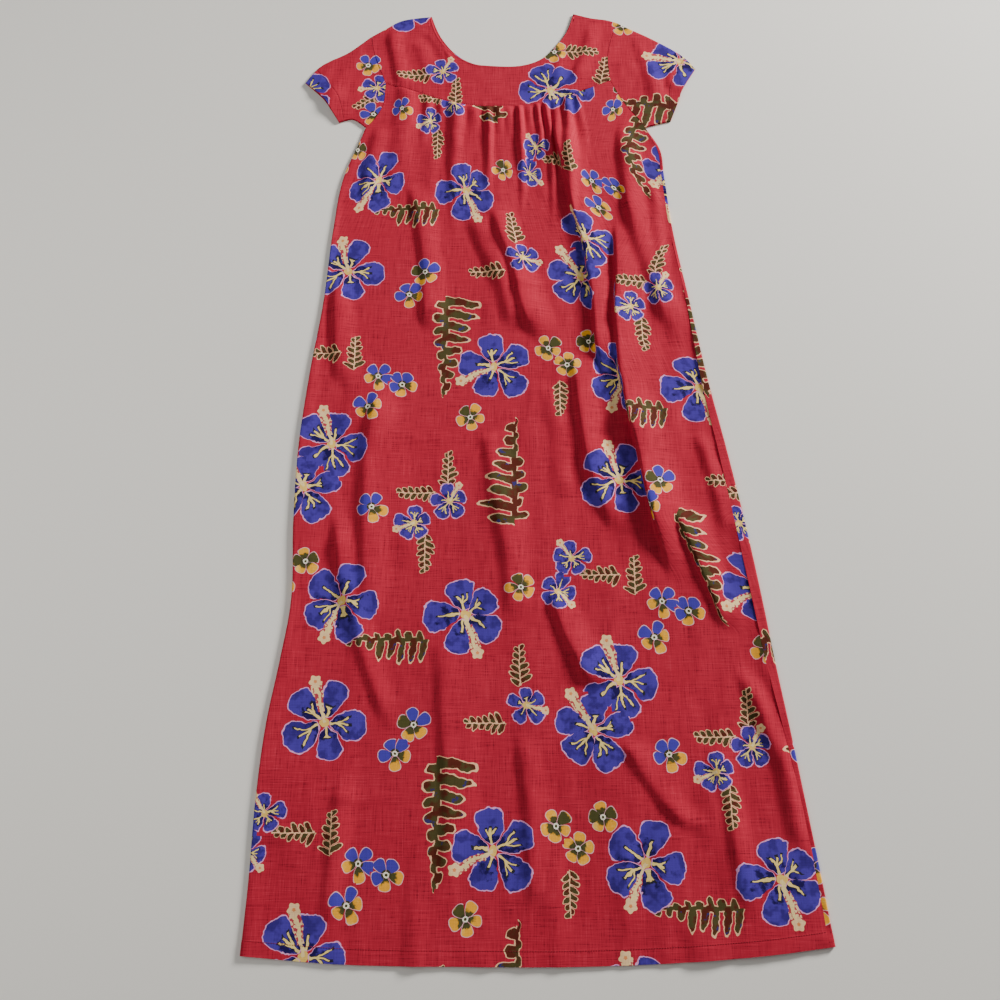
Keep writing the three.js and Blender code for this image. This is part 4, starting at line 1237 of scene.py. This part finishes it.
# A topstitch just above the yoke seam, in dark thread, that also lays a painted shadow along the seam
points = laidPoints["front_yoke"][:yokeRows - 10]  # without the rolled neckline
above = points[..., 1] - seamHeight(points[..., 0]) - stitching["fromYokeSeam"]
line, normals = lineAcross(points, rowsAt(points, above), 1)
sewLine("yoke_topstitch_and_seam_shadow", line, normals, cloth["thick"] / 2)
for name, outward in (("sleeve_right", -1), ("sleeve_left", 1)):
    points = laidPoints[name]
    points = np.concatenate([points, points[:, :1]], 1)
    reach = np.linalg.norm(points[-1] - points[0], axis=1).mean()
    rowAt = np.full(points.shape[1], (len(points) - 1) * (1 - cuff["depth"] / reach))
    line, normals = lineAcross(points, rowAt, outward)
    sewLine(f"{name}_stitches", line, normals, cloth["thick"] / 2 + 0.25)
print("stitches sewn")

# Each piece takes its node's name, is attached to the root body, and stands in for its part from model.glb
pieces = {"back_skirt": skirts["back"], "front_skirt": skirts["front"], "back_yoke": yokes["back"],
          "front_yoke": yokes["front"], **sleeves}
for node, piece in pieces.items():
    piece.name = f"{node}_cloth"
    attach(piece, "root")
    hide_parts(node)
print("cloth laid")


# A plain pale floor, soft studio light from the upper right, and the photo's viewpoint
studio = {
    "floor": "#f3eee4",
    "room": "#e9ecf0",
    "roomStrength": 0.16,
    "camera": {"place": (-0.0445, -0.5355, 1.28), "tilt": 18, "focalPixels": 1003, "pictureWide": 1000},
}


def addFloor():
    mesh = bpy.data.meshes.new("floor")
    half = 4.0
    corners = [(-half, -half, 0), (half, -half, 0), (half, half, 0), (-half, half, 0)]
    mesh.from_pydata(corners, [], [(0, 1, 2, 3)])
    floor = bpy.data.objects.new("floor", mesh)
    bpy.context.scene.collection.objects.link(floor)
    material = bpy.data.materials.new("paintedStudioFloor")  # matt paint, so that no light mirrors in it
    material.use_nodes = True
    shader = material.node_tree.nodes["Principled BSDF"]
    shader.inputs["Base Color"].default_value = linear(studio["floor"])
    shader.inputs["Roughness"].default_value = 0.9
    mesh.materials.append(material)


def addLight(name, place, aim, size, power):
    light = bpy.data.lights.new(name, "AREA")
    light.shape = "DISK"
    light.size = size
    light.energy = power
    lamp = bpy.data.objects.new(name, light)
    lamp.location = place
    lamp.rotation_euler = (Vector(aim) - Vector(place)).to_track_quat("-Z", "Y").to_euler()
    bpy.context.scene.collection.objects.link(lamp)


def addCamera():
    view = studio["camera"]
    data = bpy.data.cameras.new("photoCamera")
    data.lens = data.sensor_width * view["focalPixels"] / view["pictureWide"]
    data.clip_end = 50
    camera = bpy.data.objects.new("photoCamera", data)
    camera.location = view["place"]
    camera.rotation_euler = (math.radians(view["tilt"]), 0, 0)
    bpy.context.scene.collection.objects.link(camera)
    bpy.context.scene.camera = camera


addFloor()
addLight("windowLight", place=(2.9, 2.3, 1.3), aim=(0, 0, 0), size=1.0, power=320)
addLight("roomLight", place=(-1.2, -0.1, 1.3), aim=(-0.2, 0, 0), size=1.6, power=11)
addCamera()
world = bpy.data.worlds.new("softRoom")
world.use_nodes = True
background = world.node_tree.nodes["Background"]
background.inputs["Color"].default_value = linear(studio["room"])
background.inputs["Strength"].default_value = studio["roomStrength"]
bpy.context.scene.world = world

print("scene ready")
